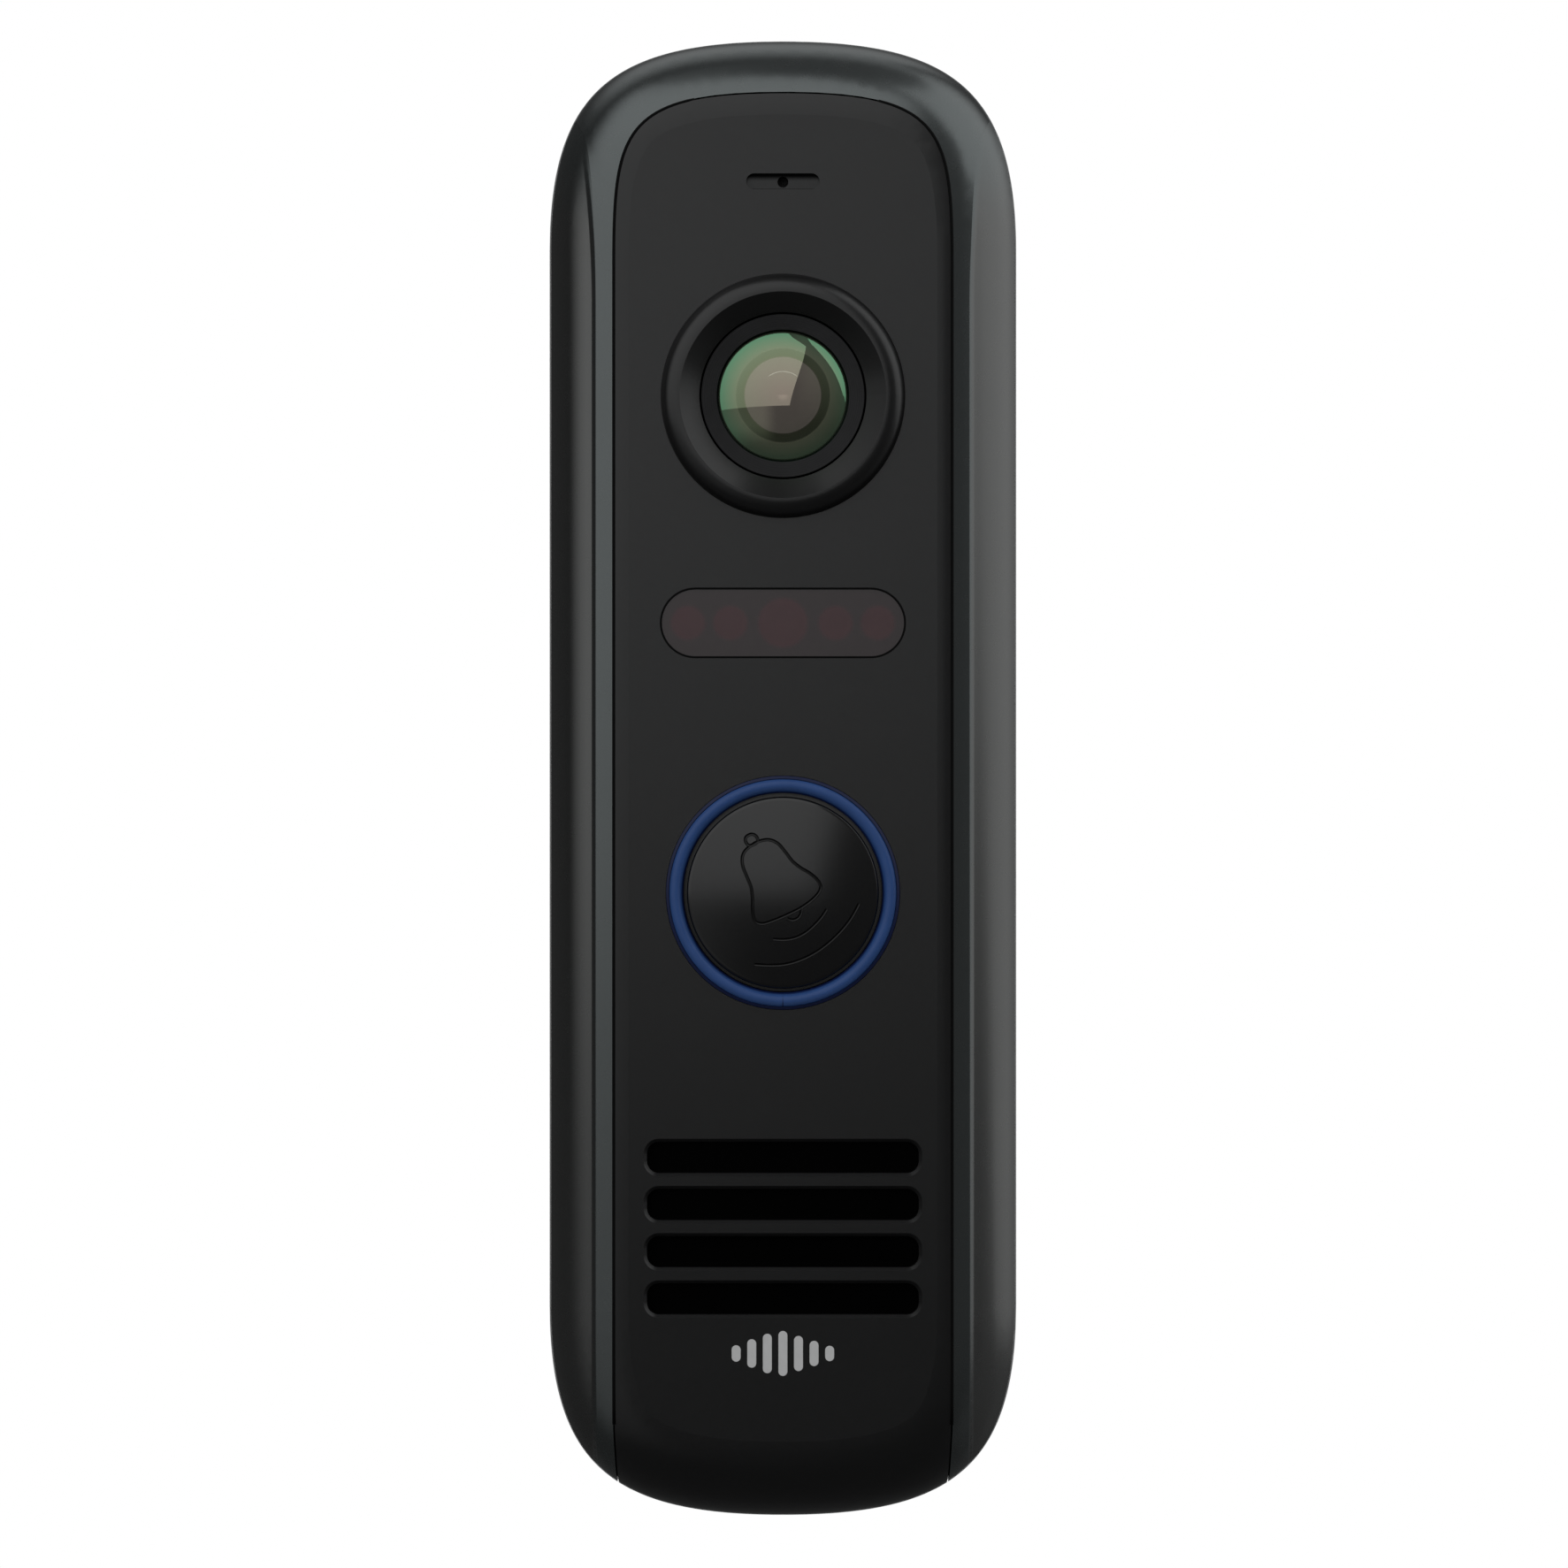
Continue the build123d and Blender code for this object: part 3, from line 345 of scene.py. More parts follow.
def coated_glass():
    """Multi-coated front element: pinkish in the middle and green towards its edge, with a painted highlight
    arc above the middle.
    """
    s = Surface("coated_glass", 0.02, ior=2.5)
    glass_radius = 6.0
    moved, reach = s.about(CAMERA_CENTRE)
    radius = s.math("DIVIDE", reach, glass_radius)
    centre, dark = (0.090, 0.078, 0.071), (0.010, 0.009, 0.007)
    mid, edge, rim = (0.072, 0.072, 0.052), (0.050, 0.058, 0.040), (0.002, 0.006, 0.003)
    tone = s.ramp(radius, [(0.575, rgba(centre)), (0.585, rgba(dark)), (0.705, rgba(dark)),
                           (0.72, rgba(mid)), (0.96, rgba(edge)), (0.985, rgba(rim))])
    x, y, z = s.split(moved)
    # A pale arc above the middle is a painted highlight: a glint off an inner element.
    inner_glint = s.product(s.smooth(reach, 2.07, 2.12), s.fade(reach, 2.15, 2.20), s.smooth(z, 1.62, 1.85))
    s.color(s.mix(s.math("MULTIPLY", inner_glint, 0.6), tone, rgba((0.55, 0.55, 0.48))), 0.1, 0.8)
    tint = s.ramp(radius, [(0.0, (1.0, 0.82, 0.66, 1)), (0.57, (0.92, 0.92, 0.66, 1)),
                           (0.60, (0.72, 0.86, 0.52, 1)), (0.71, (0.72, 0.90, 0.56, 1)),
                           (0.98, (0.30, 0.92, 0.52, 1))])
    s.put(s.shader.inputs["Specular Tint"], tint)
    s.put(s.shader.inputs["Roughness"], s.math("MULTIPLY_ADD", s.noise(s.mm, 1.2), 0.02, 0.008))
    return s.material


def clear_glass(name, color, rough=0.03):
    """Glass or clear resin, faintly tinted."""
    s = Surface(name, rough)
    s.shader.inputs["Transmission Weight"].default_value = 0.9
    s.color(color, 0.05)
    s.polish(0.3)
    return s.material


def board_mask():
    """Green solder mask over copper tracks."""
    s = Surface("board", 0.28, coat=0.3)
    tracks = s.nodes.new("ShaderNodeTexBrick")
    flat = s.vector("MULTIPLY", s.mm, (1.0, 0.0, 1.0))
    x, y, z = s.split(flat)
    joined = s.nodes.new("ShaderNodeCombineXYZ")
    s.put(joined.inputs[0], x)
    s.put(joined.inputs[1], z)
    s.put(tracks.inputs["Vector"], joined.outputs[0])
    for key, value in (("Scale", 1.0), ("Mortar Size", 0.12), ("Brick Width", 2.6), ("Row Height", 0.9)):
        tracks.inputs[key].default_value = value
    tracks.inputs["Color1"].default_value = rgba((0.008, 0.10, 0.035))
    tracks.inputs["Color2"].default_value = rgba((0.006, 0.085, 0.030))
    tracks.inputs["Mortar"].default_value = rgba((0.016, 0.16, 0.055))
    s.color(tracks.outputs["Color"], 0.1)
    s.polish()
    s.relief(tracks.outputs["Fac"], -12.0)
    return s.material


def ribbon_film():
    """Amber film over parallel conductors."""
    s = Surface("ribbon", 0.30, coat=0.4)
    lines = s.smooth(s.wave(s.mm, 0.32), 0.45, 0.6)
    s.color(s.mix(lines, rgba((0.50, 0.24, 0.05)), rgba((0.62, 0.36, 0.12))))
    s.polish()
    s.relief(lines, 10.0)
    return s.material


def acoustic_cloth():
    """Woven black mesh, two crossing sets of threads."""
    s = Surface("mesh_cloth", 0.8)
    s.shader.inputs["Specular IOR Level"].default_value = 0.0
    across = s.wave(s.mm, 1.1, "X")
    along = s.wave(s.mm, 1.1, "Z")
    weave = s.product(across, along)
    s.color(s.mix(weave, rgba((0.0006, 0.0006, 0.0006)), rgba((0.003, 0.003, 0.003))))
    s.polish()
    s.relief(weave, 40.0)
    return s.material


def turned_metal(name, color, rough, centre, microns=1.5):
    """Metal faced on a lathe, with fine rings about a centre."""
    s = Surface(name, rough, metallic=1.0)
    s.color(color, 0.08)
    rings = s.wave(s.about(centre)[0], 1.6, "Y", rings=True)
    s.put(s.shader.inputs["Roughness"], s.math("MULTIPLY_ADD", rings, rough * 0.4, rough * 0.8))
    s.relief(rings, microns)
    return s.material


def paper_cone():
    """Pressed paper with fibres."""
    s = Surface("paper", 0.85)
    s.color((0.016, 0.015, 0.014), 0.25, 1.2)
    s.polish()
    s.relief(s.noise(s.vector("MULTIPLY", s.mm, (1.0, 1.0, 3.0)), 2.0, detail=6.0), 30.0)
    return s.material


def led_cap():
    """White LED: a pale body with yellow phosphor."""
    s = Surface("led_white", 0.35)
    phosphor = s.noise(s.mm, 1.5, detail=3.0)
    s.color(s.mix(phosphor, rgba((0.82, 0.80, 0.62)), rgba((0.80, 0.66, 0.20))))
    s.polish()
    s.relief(s.noise(s.mm, 3.0), 4.0)
    return s.material


def can_sleeve():
    """Shrink sleeve with a paler stripe down one side."""
    s = Surface("can_sleeve", 0.25, coat=0.4)
    stripe = s.smooth(s.wave(s.mm, 0.12, "X"), 0.86, 0.93)
    s.color(s.mix(stripe, rgba((0.010, 0.014, 0.055)), rgba((0.35, 0.36, 0.42))), 0.1)
    s.polish()
    s.relief(s.noise(s.mm, 2.0), 3.0)
    return s.material


def capsule():
    """A tinned can with black felt over its front."""
    s = Surface("capsule", 0.5, metallic=0.3)
    felt = s.fade(s.about(MICROPHONE_CENTRE)[1], 2.9, 3.0)
    s.color(s.mix(felt, rgba((0.40, 0.39, 0.37)), rgba((0.0008, 0.0008, 0.0008))))
    s.polish()
    s.relief(s.noise(s.mm, 6.0, detail=6.0), 30.0)
    return s.material


def ink():
    """Pad-printed pale grey ink."""
    s = Surface("mark_ink", 0.5)
    s.color((0.56, 0.56, 0.56), 0.04, 1.0)
    s.polish()
    s.relief(s.noise(s.mm, 6.0, detail=4.0), 2.0)
    return s.material


MATERIALS = {
    "shell_paint": shell_paint(),
    "faceplate_plastic": faceplate_plastic(),
    "cover_plastic": moulded("cover_plastic", (0.012, 0.012, 0.013), 0.5, 2.5, 8.0),
    "bracket_steel": drawn_metal("bracket_steel", (0.56, 0.57, 0.58), 0.34),
    "screw_steel": drawn_metal("screw_steel", (0.52, 0.51, 0.49), 0.28, (1.0, 4.0, 1.0)),
    "insert_brass": drawn_metal("insert_brass", (0.62, 0.42, 0.17), 0.25, (1.0, 1.0, 4.0)),
    "foam": moulded("foam", (0.010, 0.010, 0.011), 0.95, 3.5, 60.0, 0.3),
    "silicone": moulded("silicone", (0.014, 0.014, 0.015), 0.6, 2.0, 3.0),
    "lens_metal": turned_metal("lens_metal", (0.022, 0.022, 0.0225), 0.36, CAMERA_CENTRE, 2.0),
    "coated_glass": coated_glass(),
    "clear_glass": clear_glass("clear_glass", (0.72, 0.70, 0.76)),
    "window_plastic": window_plastic(),
    "led_resin": clear_glass("led_resin", (0.50, 0.34, 0.44), 0.1),
    "sensor_resin": moulded("sensor_resin", (0.16, 0.02, 0.015), 0.3, 1.5, 3.0),
    "ring_plastic": ring_plastic(),
    "led_white": led_cap(),
    "button_plastic": button_plastic(),
    "board": board_mask(),
    "package_black": moulded("package_black", (0.012, 0.012, 0.013), 0.55, 4.0, 6.0),
    "tinned": drawn_metal("tinned", (0.62, 0.61, 0.58), 0.3, (2.0, 2.0, 2.0)),
    "magnet_plate": turned_metal("magnet_plate", (0.58, 0.57, 0.55), 0.22, SPEAKER_CENTRE),
    "paper": paper_cone(),
    "mesh_cloth": acoustic_cloth(),
    "lead_pvc": moulded("lead_pvc", (0.36, 0.018, 0.014), 0.4, 1.0, 4.0, coat=0.2),
    "terminal_plastic": moulded("terminal_plastic", (0.012, 0.13, 0.045), 0.42, 2.0, 6.0),
    "can_sleeve": can_sleeve(),
    "ribbon": ribbon_film(),
    "socket_plastic": moulded("socket_plastic", (0.66, 0.62, 0.52), 0.45, 1.5, 4.0),
}

for part in frame["record"]["subparts"]:
    cad = frame["nodes"][part["node"]]
    cad.data.materials.clear()
    cad.data.materials.append(MATERIALS[part["material_slot"]])
capsule_can = frame["nodes"]["microphone_capsule"]
capsule_can.data.materials.clear()
capsule_can.data.materials.append(capsule())


# The button's face with an engraved bell

GROOVE_RADIUS = 0.17
GROOVE_LIFT = 0.05

# Points along the middle of each engraved line, from the button's centre

BELL_BODY = (
    (-2.14, 4.71), (-2.75, 4.41), (-3.43, 3.85), (-3.7, 3.22), (-3.65, 2.42), (-3.3, 1.51), (-2.9, 0.5),
    (-2.77, -0.55), (-2.75, -1.69), (-2.54, -2.57), (-1.91, -2.82), (-1.03, -2.59), (0.48, -1.96),
    (1.74, -1.31), (2.87, -0.45), (3.43, 0.38), (3.2, 1.11), (2.49, 1.76), (1.61, 2.29), (0.86, 2.9),
    (0.18, 3.78), (-0.48, 4.51), (-1.28, 4.84),
)
BELL_LOOP = (
    (-2.9, 5.34), (-3.35, 5.09), (-3.4, 4.69), (-3.12, 4.33), (-2.62, 4.41), (-2.29, 4.74),
    (-2.47, 5.19),
)
BELL_CLAPPER = (
    (0.4, -2.34), (0.86, -2.49), (1.34, -2.32), (1.64, -1.89), (1.71, -1.39),
)
SOUND_NEAR = (
    (-0.88, -4.23), (0.1, -4.28), (1.11, -4.11), (2.07, -3.63), (2.9, -2.92), (3.55, -2.19),
    (4.01, -1.49),
)
SOUND_FAR = (
    (-2.59, -6.55), (-1.28, -6.62), (0.1, -6.55), (1.56, -6.15), (3, -5.44), (4.31, -4.46),
    (5.52, -3.25), (6.35, -2.12), (6.95, -1.01),
)


def dome_point(x, z, lift):
    """A point above the dome, from its place across the button's face."""
    y = DOME_RADIUS - DOME_APEX - math.sqrt(DOME_RADIUS ** 2 - x * x - z * z)
    return Vector((x * MM, (y - lift) * MM, (BUTTON_CENTRE[1] + z) * MM))


def smooth_trace(points, closed, steps=5):
    """Catmull-Rom points through the given ones."""
    count = len(points)

    def at(i):
        return points[i % count] if closed else points[min(count - 1, max(0, i))]

    out = []
    for i in range(count if closed else count - 1):
        a, b, c, d = at(i - 1), at(i), at(i + 1), at(i + 2)
        for k in range(steps):
            t = k / steps
            out.append(tuple(
                0.5 * (2 * q + (r - p) * t
                       + (2 * p - 5 * q + 4 * r - w) * t * t
                       + (3 * q - p - 3 * r + w) * t ** 3)
                for p, q, r, w in zip(a, b, c, d)
            ))
    if not closed:
        out.append(points[-1])
    return out


def add_object(name, mesh):
    """An object made from a bmesh, which is freed."""
    data = bpy.data.meshes.new(name)
    mesh.to_mesh(data)
    mesh.free()
    piece = bpy.data.objects.new(name, data)
    bpy.context.scene.collection.objects.link(piece)
    return piece


def tube(name, path, closed, radius, sides):
    """An object round a path of points in metres, with a radius in millimetres."""
    count = len(path)
    mesh = bmesh.new()
    rings = []
    for i, centre in enumerate(path):
        ahead = path[(i + 1) % count] if closed or i < count - 1 else path[i]
        back = path[i - 1] if closed or i > 0 else path[i]
        outward = Vector((0, -1, 0))
        across = (ahead - back).normalized().cross(outward).normalized()
        ring = []
        for k in range(sides):
            turn = 2 * math.pi * k / sides
            offset = across * math.cos(turn) + outward * math.sin(turn)
            ring.append(mesh.verts.new(centre + offset * radius * MM))
        rings.append(ring)
    pairs = list(zip(rings, rings[1:])) + ([(rings[-1], rings[0])] if closed else [])
    for near, far in pairs:
        for k in range(sides):
            mesh.faces.new((near[k], near[(k + 1) % sides], far[(k + 1) % sides], far[k]))
    if not closed:
        mesh.faces.new(rings[0])
        mesh.faces.new(rings[-1])
    bmesh.ops.recalc_face_normals(mesh, faces=mesh.faces)
    return add_object(name, mesh)


def groove_cutter(points, closed):
    """A tube that follows a trace just above the dome."""
    path = [dome_point(x, z, GROOVE_LIFT) for x, z in smooth_trace(points, closed)]
    return tube("cutter", path, closed, GROOVE_RADIUS, 12)


def lathe(name, centre_z, profile, segments=160):
    """A closed profile of (radius, depth) points turned about a front-to-back axis."""
    mesh = bmesh.new()
    rings = []
    for radius, depth in profile:
        if radius == 0:
            rings.append([mesh.verts.new((0, -depth * MM, centre_z * MM))])
            continue
        ring = []
        for k in range(segments):
            turn = 2 * math.pi * k / segments
            x, z = radius * math.cos(turn), centre_z + radius * math.sin(turn)
            ring.append(mesh.verts.new((x * MM, -depth * MM, z * MM)))
        rings.append(ring)
    for near, far in zip(rings, rings[1:] + rings[:1]):
        if len(near) == 1 and len(far) == 1:
            continue
        for k in range(segments):
            start = [near[k % len(near)], near[(k + 1) % len(near)]]
            end = [far[(k + 1) % len(far)], far[k % len(far)]]
            mesh.faces.new(list(dict.fromkeys(start + end)))
    bmesh.ops.recalc_face_normals(mesh, faces=mesh.faces)
    return add_object(name, mesh)


def soften(mesh, degrees):
    """Smooth shading, with edges sharper than an angle kept crisp."""
    for face in mesh.polygons:
        face.use_smooth = True
    mesh.set_sharp_from_angle(angle=math.radians(degrees))


def button_profile():
    """From the dome's edge over its middle, then round the pusher, stem, flange and rim."""
    steps, face_radius, rim_radius = 24, 8.4, 8.75
    pusher_radius, pusher_back, hollow_depth = 2.2, 20.02, 22.4
    stem_bore, stem_radius, stem_back = 4.8, 6.0, 18.2
    flange_radius, flange_back, flange_front = 10.0, 19.4, 20.55
    dome = []
    for k in range(steps + 1):
        radius = face_radius * (1 - k / steps)
        dome.append((radius, DOME_APEX - DOME_RADIUS + math.sqrt(DOME_RADIUS ** 2 - radius ** 2)))
    return dome + [
        (0, pusher_back), (pusher_radius, pusher_back), (pusher_radius, hollow_depth),
        (stem_bore, hollow_depth), (stem_bore, stem_back), (stem_radius, stem_back),
        (stem_radius, flange_back), (flange_radius, flange_back), (flange_radius, flange_front),
        (rim_radius, flange_front), (rim_radius, 23.8), (8.7, 23.98), (8.58, 24.08),
    ]


def round_the_dome(mesh):
    """The ball's own normals on the dome, so that the cuts leave no shading marks on it."""
    ball = Vector(BALL_CENTRE) * MM
    off_ball, along_spoke = 0.015 * MM, 0.995
    normals = [Vector(corner.vector) for corner in mesh.corner_normals]
    for face in mesh.polygons:
        for loop in face.loop_indices:
            spoke = mesh.vertices[mesh.loops[loop].vertex_index].co - ball
            outward = spoke.normalized()
            if abs(spoke.length - DOME_RADIUS * MM) < off_ball and outward.dot(face.normal) > along_spoke:
                normals[loop] = outward
    mesh.normals_split_custom_set(normals)


def engraved_button():
    """The call button with the bell and its sound waves cut into the dome."""
    piece = lathe("engraved_button", BUTTON_CENTRE[1], button_profile())
    cutters = [groove_cutter(BELL_BODY, True), groove_cutter(BELL_LOOP, True)]
    cutters += [groove_cutter(line, False) for line in (BELL_CLAPPER, SOUND_NEAR, SOUND_FAR)]
    for cutter in cutters:
        cut = piece.modifiers.new("cut", "BOOLEAN")
        cut.operation = "DIFFERENCE"
        cut.solver = "EXACT"
        cut.object = cutter
    bpy.context.view_layer.update()
    graph = bpy.context.evaluated_depsgraph_get()
    cut_mesh = bpy.data.meshes.new_from_object(piece.evaluated_get(graph))
    cut_mesh.name = "engraved_button"
    piece.modifiers.clear()
    piece.data = cut_mesh
    for cutter in cutters:
        bpy.data.objects.remove(cutter)
    cut_mesh.materials.clear()
    cut_mesh.materials.append(MATERIALS["button_plastic"])
    soften(cut_mesh, 32)
    round_the_dome(cut_mesh)
    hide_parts("call_button")
    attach(piece, "call_button")


engraved_button()


# The lens barrel with a flat front ring

def flat_barrel():
    """The barrel's head and body, turned hollow, with the aperture stop inside."""
    head_radius, head_back = 7.5, 19.4
    body_radius, body_back = 6.0, 11.6
    seat_radius, seat_depth = 5.95, 22.0
    front_bore, rear_bore, stop_radius = 4.6, 4.3, 1.9
    profile = [
        (head_radius, 23.98), (7.42, 24.06), (6.05, 23.98), (5.97, 23.88),
        (seat_radius, seat_depth), (front_bore, seat_depth), (front_bore, 17.2),
        (stop_radius, 16.9), (stop_radius, 16.3), (rear_bore, 16.0), (rear_bore, body_back),
        (body_radius, body_back), (body_radius, head_back), (head_radius, head_back),
    ]
    piece = lathe("barrel_front", CAMERA_CENTRE[1], profile)
    soften(piece.data, 30)
    piece.data.materials.append(MATERIALS["lens_metal"])
    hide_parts("lens_barrel")
    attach(piece, "housing")


flat_barrel()


# Painted shadow: dark lines in the joints round the faceplate and the night-light window

def joint_paint():
    """The shadow in a joint: black and dull."""
    s = Surface("joint_black", 0.7)
    s.shader.inputs["Specular IOR Level"].default_value = 0.1
    s.color((0.0008, 0.0008, 0.0008), 0.2, 1.0)
    s.polish()
    s.relief(s.noise(s.mm, 5.0), 3.0)
    return s.material


def bezier(a, b, c, d, count):
    """Points along a cubic curve, without its end."""
    points = []
    for k in range(count):
        t = k / count
        weights = ((1 - t) ** 3, 3 * t * (1 - t) ** 2, 3 * t * t * (1 - t), t ** 3)
        points.append(tuple(sum(w * p[i] for w, p in zip(weights, (a, b, c, d))) for i in (0, 1)))
    return points


def joint_bead(name, path, closed, radius):
    """A round black bead along a path, on the housing."""
    piece = tube(name, path, closed, radius, 10)
    for face in piece.data.polygons:
        face.use_smooth = True
    piece.data.materials.append(JOINT_PAINT)
    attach(piece, "housing")


def joint_line(name, outline, closed, radius, sink):
    """A bead along an outline on the front, at the higher of the surfaces on its two sides."""
    graph = bpy.context.evaluated_depsgraph_get()
    aside = 0.35
    path = []
    for x, z in outline:
        depth = 0.0
        for dx in (-aside, aside):
            start = Vector(((x + dx) * MM, -RAY_START * MM, z * MM))
            hit, place, *_ = bpy.context.scene.ray_cast(graph, start, Vector((0, 1, 0)))
            if hit:
                depth = max(depth, -place.y / MM)
        path.append(Vector((x * MM, -(depth - sink) * MM, z * MM)))
    joint_bead(name, path, closed, radius)


def foot_joint():
    """The bead in the gap across the lower end, where the faceplate's wrap meets the shell."""
    graph = bpy.context.evaluated_depsgraph_get()
    half_width, gap_depth, wrap_depth, sink = 14.7, 11.93, 12.3, 0.13
    steps = 60
    path = []
    for k in range(steps + 1):
        x = half_width * (2 * k / steps - 1)
        start = Vector((x * MM, -wrap_depth * MM, -RAY_START * MM))
        hit, place, *_ = bpy.context.scene.ray_cast(graph, start, Vector((0, 0, 1)))
        path.append(Vector((x * MM, -gap_depth * MM, place.z + sink * MM)))
    joint_bead("foot_joint", path, False, 0.12)


def panel_joint():
    """The bead between the faceplate and the shell: up both sides and over the top."""
    half_gap, steps = 0.07, 60
    side, top = PANEL_SIDE + half_gap, PANEL_TOP + half_gap
    right = [(side, PANEL_LOW + k * (PANEL_BEND - PANEL_LOW) / steps) for k in range(steps)]
    right += bezier((side, PANEL_BEND), (side, 58.87), (15.0, top), (0, top), 40)
    left = [(-x, z) for x, z in reversed(right)]
    joint_line("panel_joint", right + [(0, top)] + left, False, 0.15, 0.09)


def window_joint():
    """The bead round the night-light window."""
    half_gap, steps = 0.04, 32
    half, radius = (WINDOW_WIDTH - WINDOW_HEIGHT) / 2, WINDOW_HEIGHT / 2 + half_gap
    outline = []
    for end in (1, -1):
        for k in range(steps + 1):
            turn = math.pi * k / steps - math.pi / 2
            x, dz = half + radius * math.cos(turn), radius * math.sin(turn)
            outline.append((end * x, WINDOW_CENTRE[1] + end * dz))
    joint_line("window_joint", outline, True, 0.10, 0.05)


JOINT_PAINT = joint_paint()
panel_joint()
window_joint()
foot_joint()


# The printed mark: seven sound-level bars

def level_bars():
    """Round-ended bars that stand slightly proud of the front, with a bevelled edge."""
    width, pitch, proud, sunk, bevel = 0.82, 1.42, 0.03, 0.01, 0.02
    heights = (1.5, 2.6, 3.6, 4.1, 3.2, 2.3, 1.4)
    levels = ((0.0, FRONT_FACE - sunk), (0.0, FRONT_FACE + 0.6 * proud), (bevel, FRONT_FACE + proud))
    steps = 12
    mesh = bmesh.new()
    for i, height in enumerate(heights):
        x = pitch * (i - (len(heights) - 1) / 2)
        outline = []
        for end in (1, -1):
            for k in range(steps + 1):
                turn = math.pi * k / steps
                dx = width / 2 * math.cos(turn) * end
                dz = (height - width) / 2 * end + width / 2 * math.sin(turn) * end
                outline.append((dx, dz))
        loops = []
        for inset, depth in levels:
            points = []
            for dx, dz in outline:
                reach = math.hypot(dx, dz)
                shrink = (reach - inset) / reach
                place = ((x + dx * shrink) * MM, -depth * MM, (MARK_Z + dz * shrink) * MM)
                points.append(mesh.verts.new(place))
            loops.append(points)
        count = len(outline)
        for lower, upper in zip(loops, loops[1:]):
            for k in range(count):
                mesh.faces.new((lower[k], lower[(k + 1) % count], upper[(k + 1) % count], upper[k]))
        mesh.faces.new(loops[-1])
        mesh.faces.new(list(reversed(loops[0])))
    bmesh.ops.recalc_face_normals(mesh, faces=mesh.faces)
    piece = add_object("level_mark", mesh)
    piece.data.materials.append(ink())
    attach(piece, "housing")


level_bars()


# Stage, light and camera

def stage_floor():
    """A pale round floor below the unit."""
    mesh = bmesh.new()
    bmesh.ops.create_circle(mesh, cap_ends=True, segments=96, radius=FLOOR_RADIUS * MM)
    floor = add_object("floor", mesh)
    floor.location = (0, 0, FLOOR_Z * MM)
    s = Surface("floor_paint", 0.8)
    s.color((0.82, 0.82, 0.81), 0.02, 0.02)
    s.polish()
    floor.data.materials.append(s.material)
    floor.visible_glossy = False


def dark_studio():
    """Weak light from all round, stronger from behind, with a white backdrop for the camera."""
    world = bpy.data.worlds.new("studio")
    bpy.context.scene.world = world
    t = Tree(world)
    background = t.nodes["Background"]
    direction = t.nodes.new("ShaderNodeTexCoord").outputs["Generated"]
    x, y, z = t.split(direction)
    forward = t.math("MULTIPLY", y, -1.0)
    azimuth = t.math("MULTIPLY", t.math("ARCTAN2", x, forward), 180 / math.pi)
    elevation = t.math("MULTIPLY", t.math("ARCSINE", z), 180 / math.pi)
    above_behind = t.product(t.smooth(y, 0.05, 0.45), t.smooth(z, 0.45, 0.85))
    behind = t.smooth(y, 0.92, 0.99)
    level = t.math("MULTIPLY_ADD", above_behind, 0.8, 0.075)
    level = t.math("MULTIPLY_ADD", behind, 0.9, level)
    front_right = t.product(t.smooth(azimuth, 5, 30), t.fade(azimuth, 60, 90), t.smooth(elevation, -30, 30))
    level = t.math("MULTIPLY_ADD", front_right, 0.12, level)
    low_left = t.product(t.smooth(azimuth, -85, -55), t.fade(azimuth, -22, -4), t.smooth(elevation, -45, -20))
    level = t.math("MULTIPLY_ADD", low_left, 0.26, level)
    low_right = t.product(t.smooth(azimuth, 50, 80), t.fade(azimuth, 120, 150), t.smooth(elevation, -50, -25))
    level = t.math("MULTIPLY_ADD", low_right, 0.10, level)
    camera_ray = t.nodes.new("ShaderNodeLightPath").outputs["Is Camera Ray"]
    t.put(background.inputs["Strength"], t.math("MAXIMUM", camera_ray, level))
    t.put(background.inputs["Color"], t.mix(camera_ray, LAMP_COLOR, (1, 1, 1, 1)))


def smoothstep(value, low, high):
    """0 below low, 1 above high, with a soft step between."""
    t = min(1.0, max(0.0, (value - low) / (high - low)))
    return t * t * (3 - 2 * t)


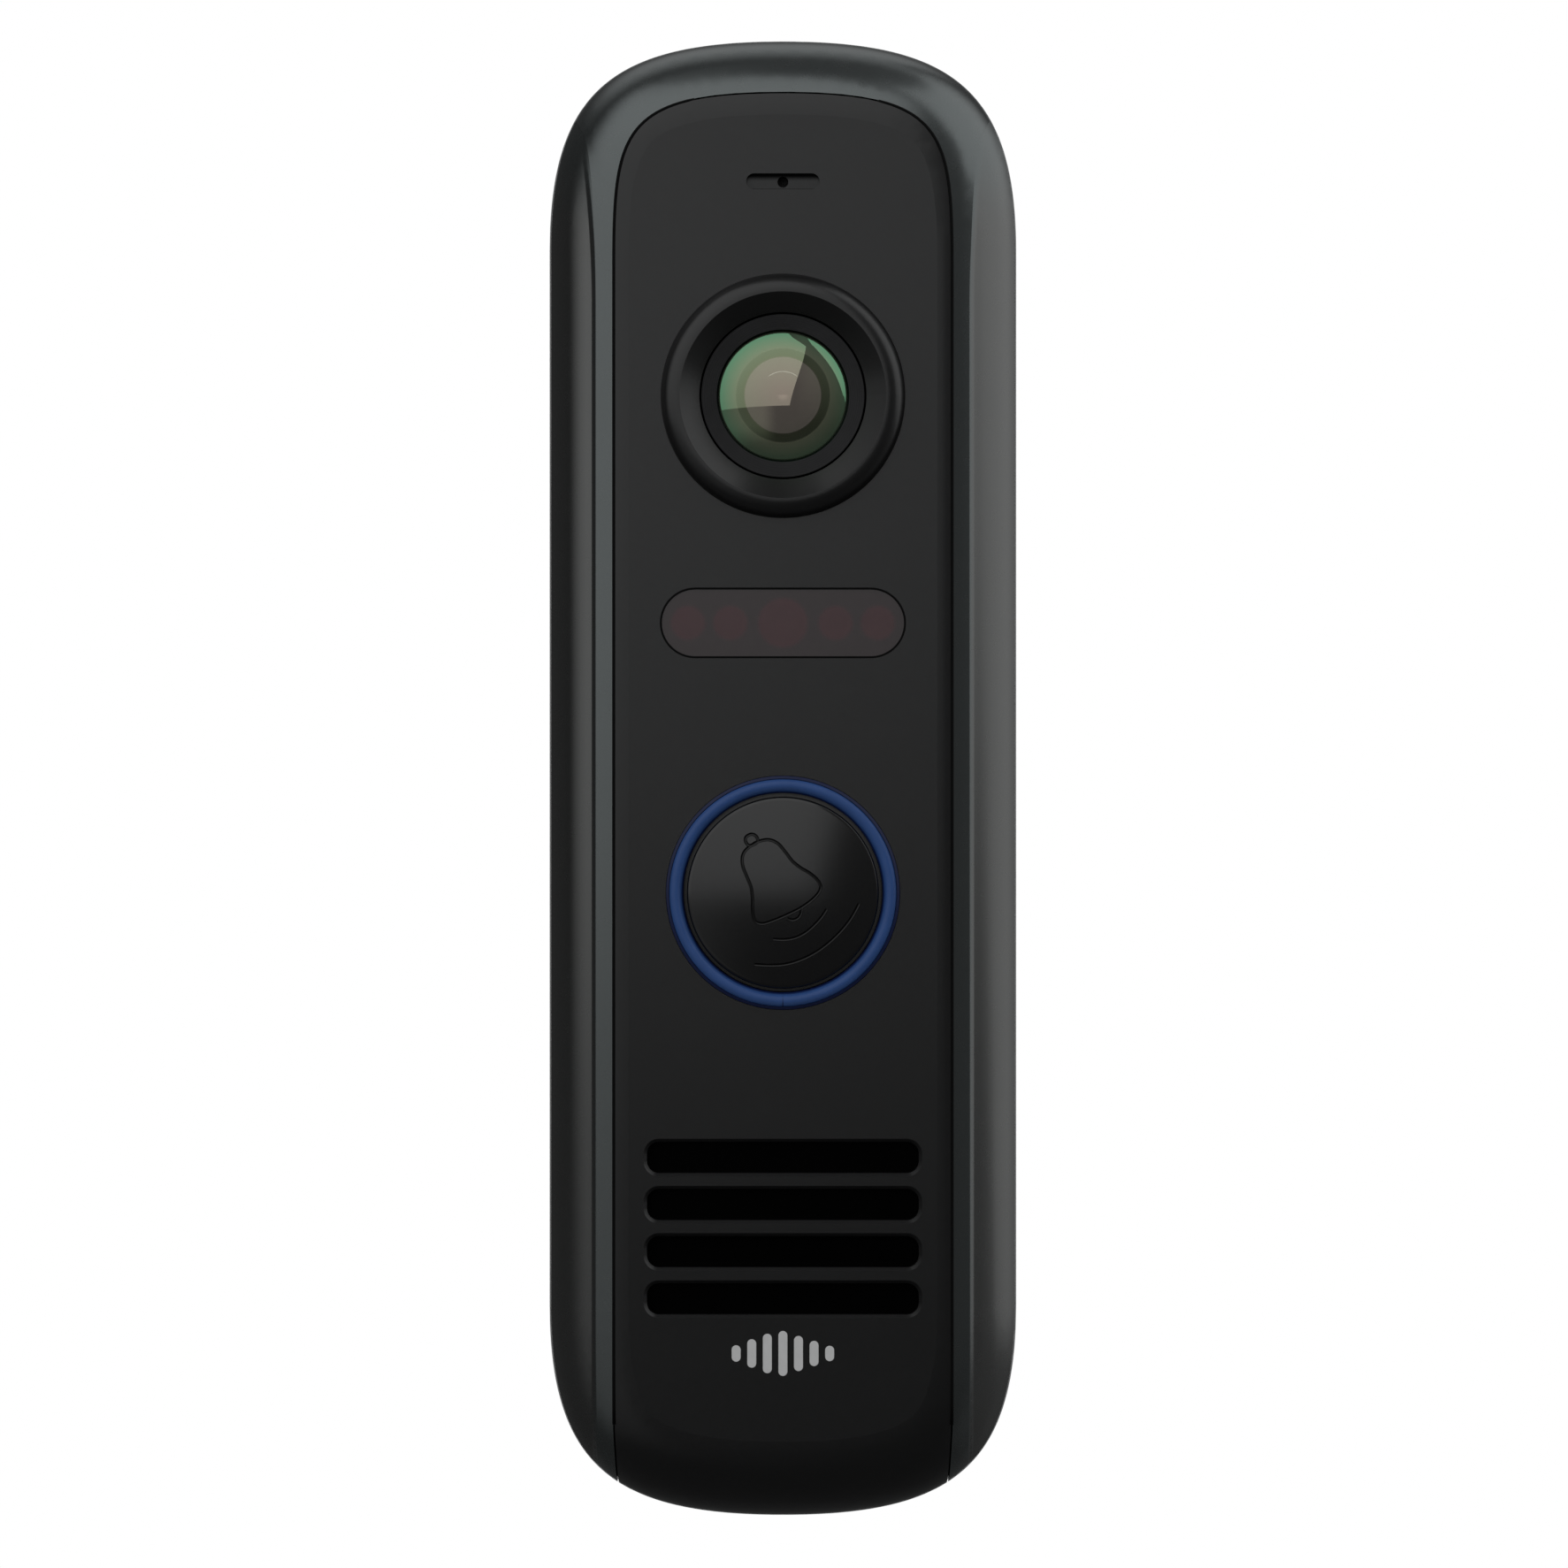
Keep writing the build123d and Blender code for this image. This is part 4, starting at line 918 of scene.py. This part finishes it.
def soft_box(name, outline, level, columns=26, rows=18):
    """A curved light card round the lens.

    outline gives a point's azimuth and elevation, seen from the lens, from its place in the
    grid. level gives the card's brightness from those two.
    """
    lens = Vector((0, -LENS_DEPTH * MM, CAMERA_CENTRE[1] * MM))
    mesh = bmesh.new()
    shades, grid = [], []
    for i in range(columns + 1):
        line = []
        for j in range(rows + 1):
            azimuth, elevation = outline(i / columns, j / rows)
            a, e = math.radians(azimuth), math.radians(elevation)
            away = Vector((math.sin(a) * math.cos(e), -math.cos(a) * math.cos(e), math.sin(e)))
            line.append(mesh.verts.new(lens + CARD_DISTANCE * MM * away))
            shades.append(level(azimuth, elevation))
        grid.append(line)
    for left, right in zip(grid, grid[1:]):
        for j in range(rows):
            mesh.faces.new((left[j], left[j + 1], right[j + 1], right[j]))
    card = add_object(name, mesh)
    card.data.attributes.new("level", "FLOAT", "POINT").data.foreach_set("value", shades)
    material = bpy.data.materials.new(name)
    t = Tree(material)
    t.nodes.remove(t.nodes["Principled BSDF"])
    glow = t.nodes.new("ShaderNodeEmission")
    glow.inputs["Color"].default_value = LAMP_COLOR
    shade = t.nodes.new("ShaderNodeAttribute")
    shade.attribute_name = "level"
    t.put(glow.inputs["Strength"], shade.outputs["Fac"])
    t.put(t.nodes["Material Output"].inputs["Surface"], glow.outputs[0])
    card.data.materials.append(material)
    card.visible_camera = False
    card.visible_shadow = False


def key_outline(u, v):
    """Straight lower edge, slanting right edge and a top that drops to the right."""
    azimuth, elevation = -50.0, 20.0
    for _ in range(12):
        right = 7.77 + 0.2442 * elevation + 0.004218 * elevation ** 2
        azimuth = -100 + (right + 100) * u
        top = 66 - 0.0113 * max(0.0, azimuth + 8) ** 2
        bottom = -6.3 + 0.024 * (azimuth - 6.4)
        elevation = bottom + (top - bottom) * v
    return azimuth, elevation


def key_level(azimuth, elevation):
    """Brighter towards the top, and fading out at the far left."""
    return (0.90 + 0.38 * smoothstep(elevation, -20, 45)) * smoothstep(azimuth, -95, -62)


def side_outline(u, v):
    """A bowed left edge; the lower edge drops away to the right."""
    azimuth, elevation = 90.0, 20.0
    for _ in range(12):
        left = 59 - 0.17 * elevation - 0.0045 * elevation ** 2
        azimuth = left + (150 - left) * u
        bottom = -3.1 - 14 * smoothstep(azimuth, 60, 105)
        elevation = bottom + (64 - bottom) * v
    return azimuth, elevation


def side_level(azimuth, elevation):
    """Brighter towards the top, and fading out towards the back."""
    return (0.85 + 0.50 * smoothstep(elevation, -15, 22)) * (1 - smoothstep(azimuth, 112, 150))


def photo_camera():
    """The photograph's view: straight on, with a long lens."""
    data = bpy.data.cameras.new("camera")
    camera = bpy.data.objects.new("camera", data)
    bpy.context.scene.collection.objects.link(camera)
    camera.location = (0.0001, -0.584, -0.00054)
    camera.rotation_euler = (math.pi / 2, 0, 0)
    data.sensor_width = 36
    data.lens = 141.05
    data.clip_start = 0.01
    bpy.context.scene.camera = camera


stage_floor()
dark_studio()
soft_box("key_box", key_outline, key_level)
soft_box("side_box", side_outline, side_level)
photo_camera()
bpy.context.scene.view_settings.view_transform = "Standard"
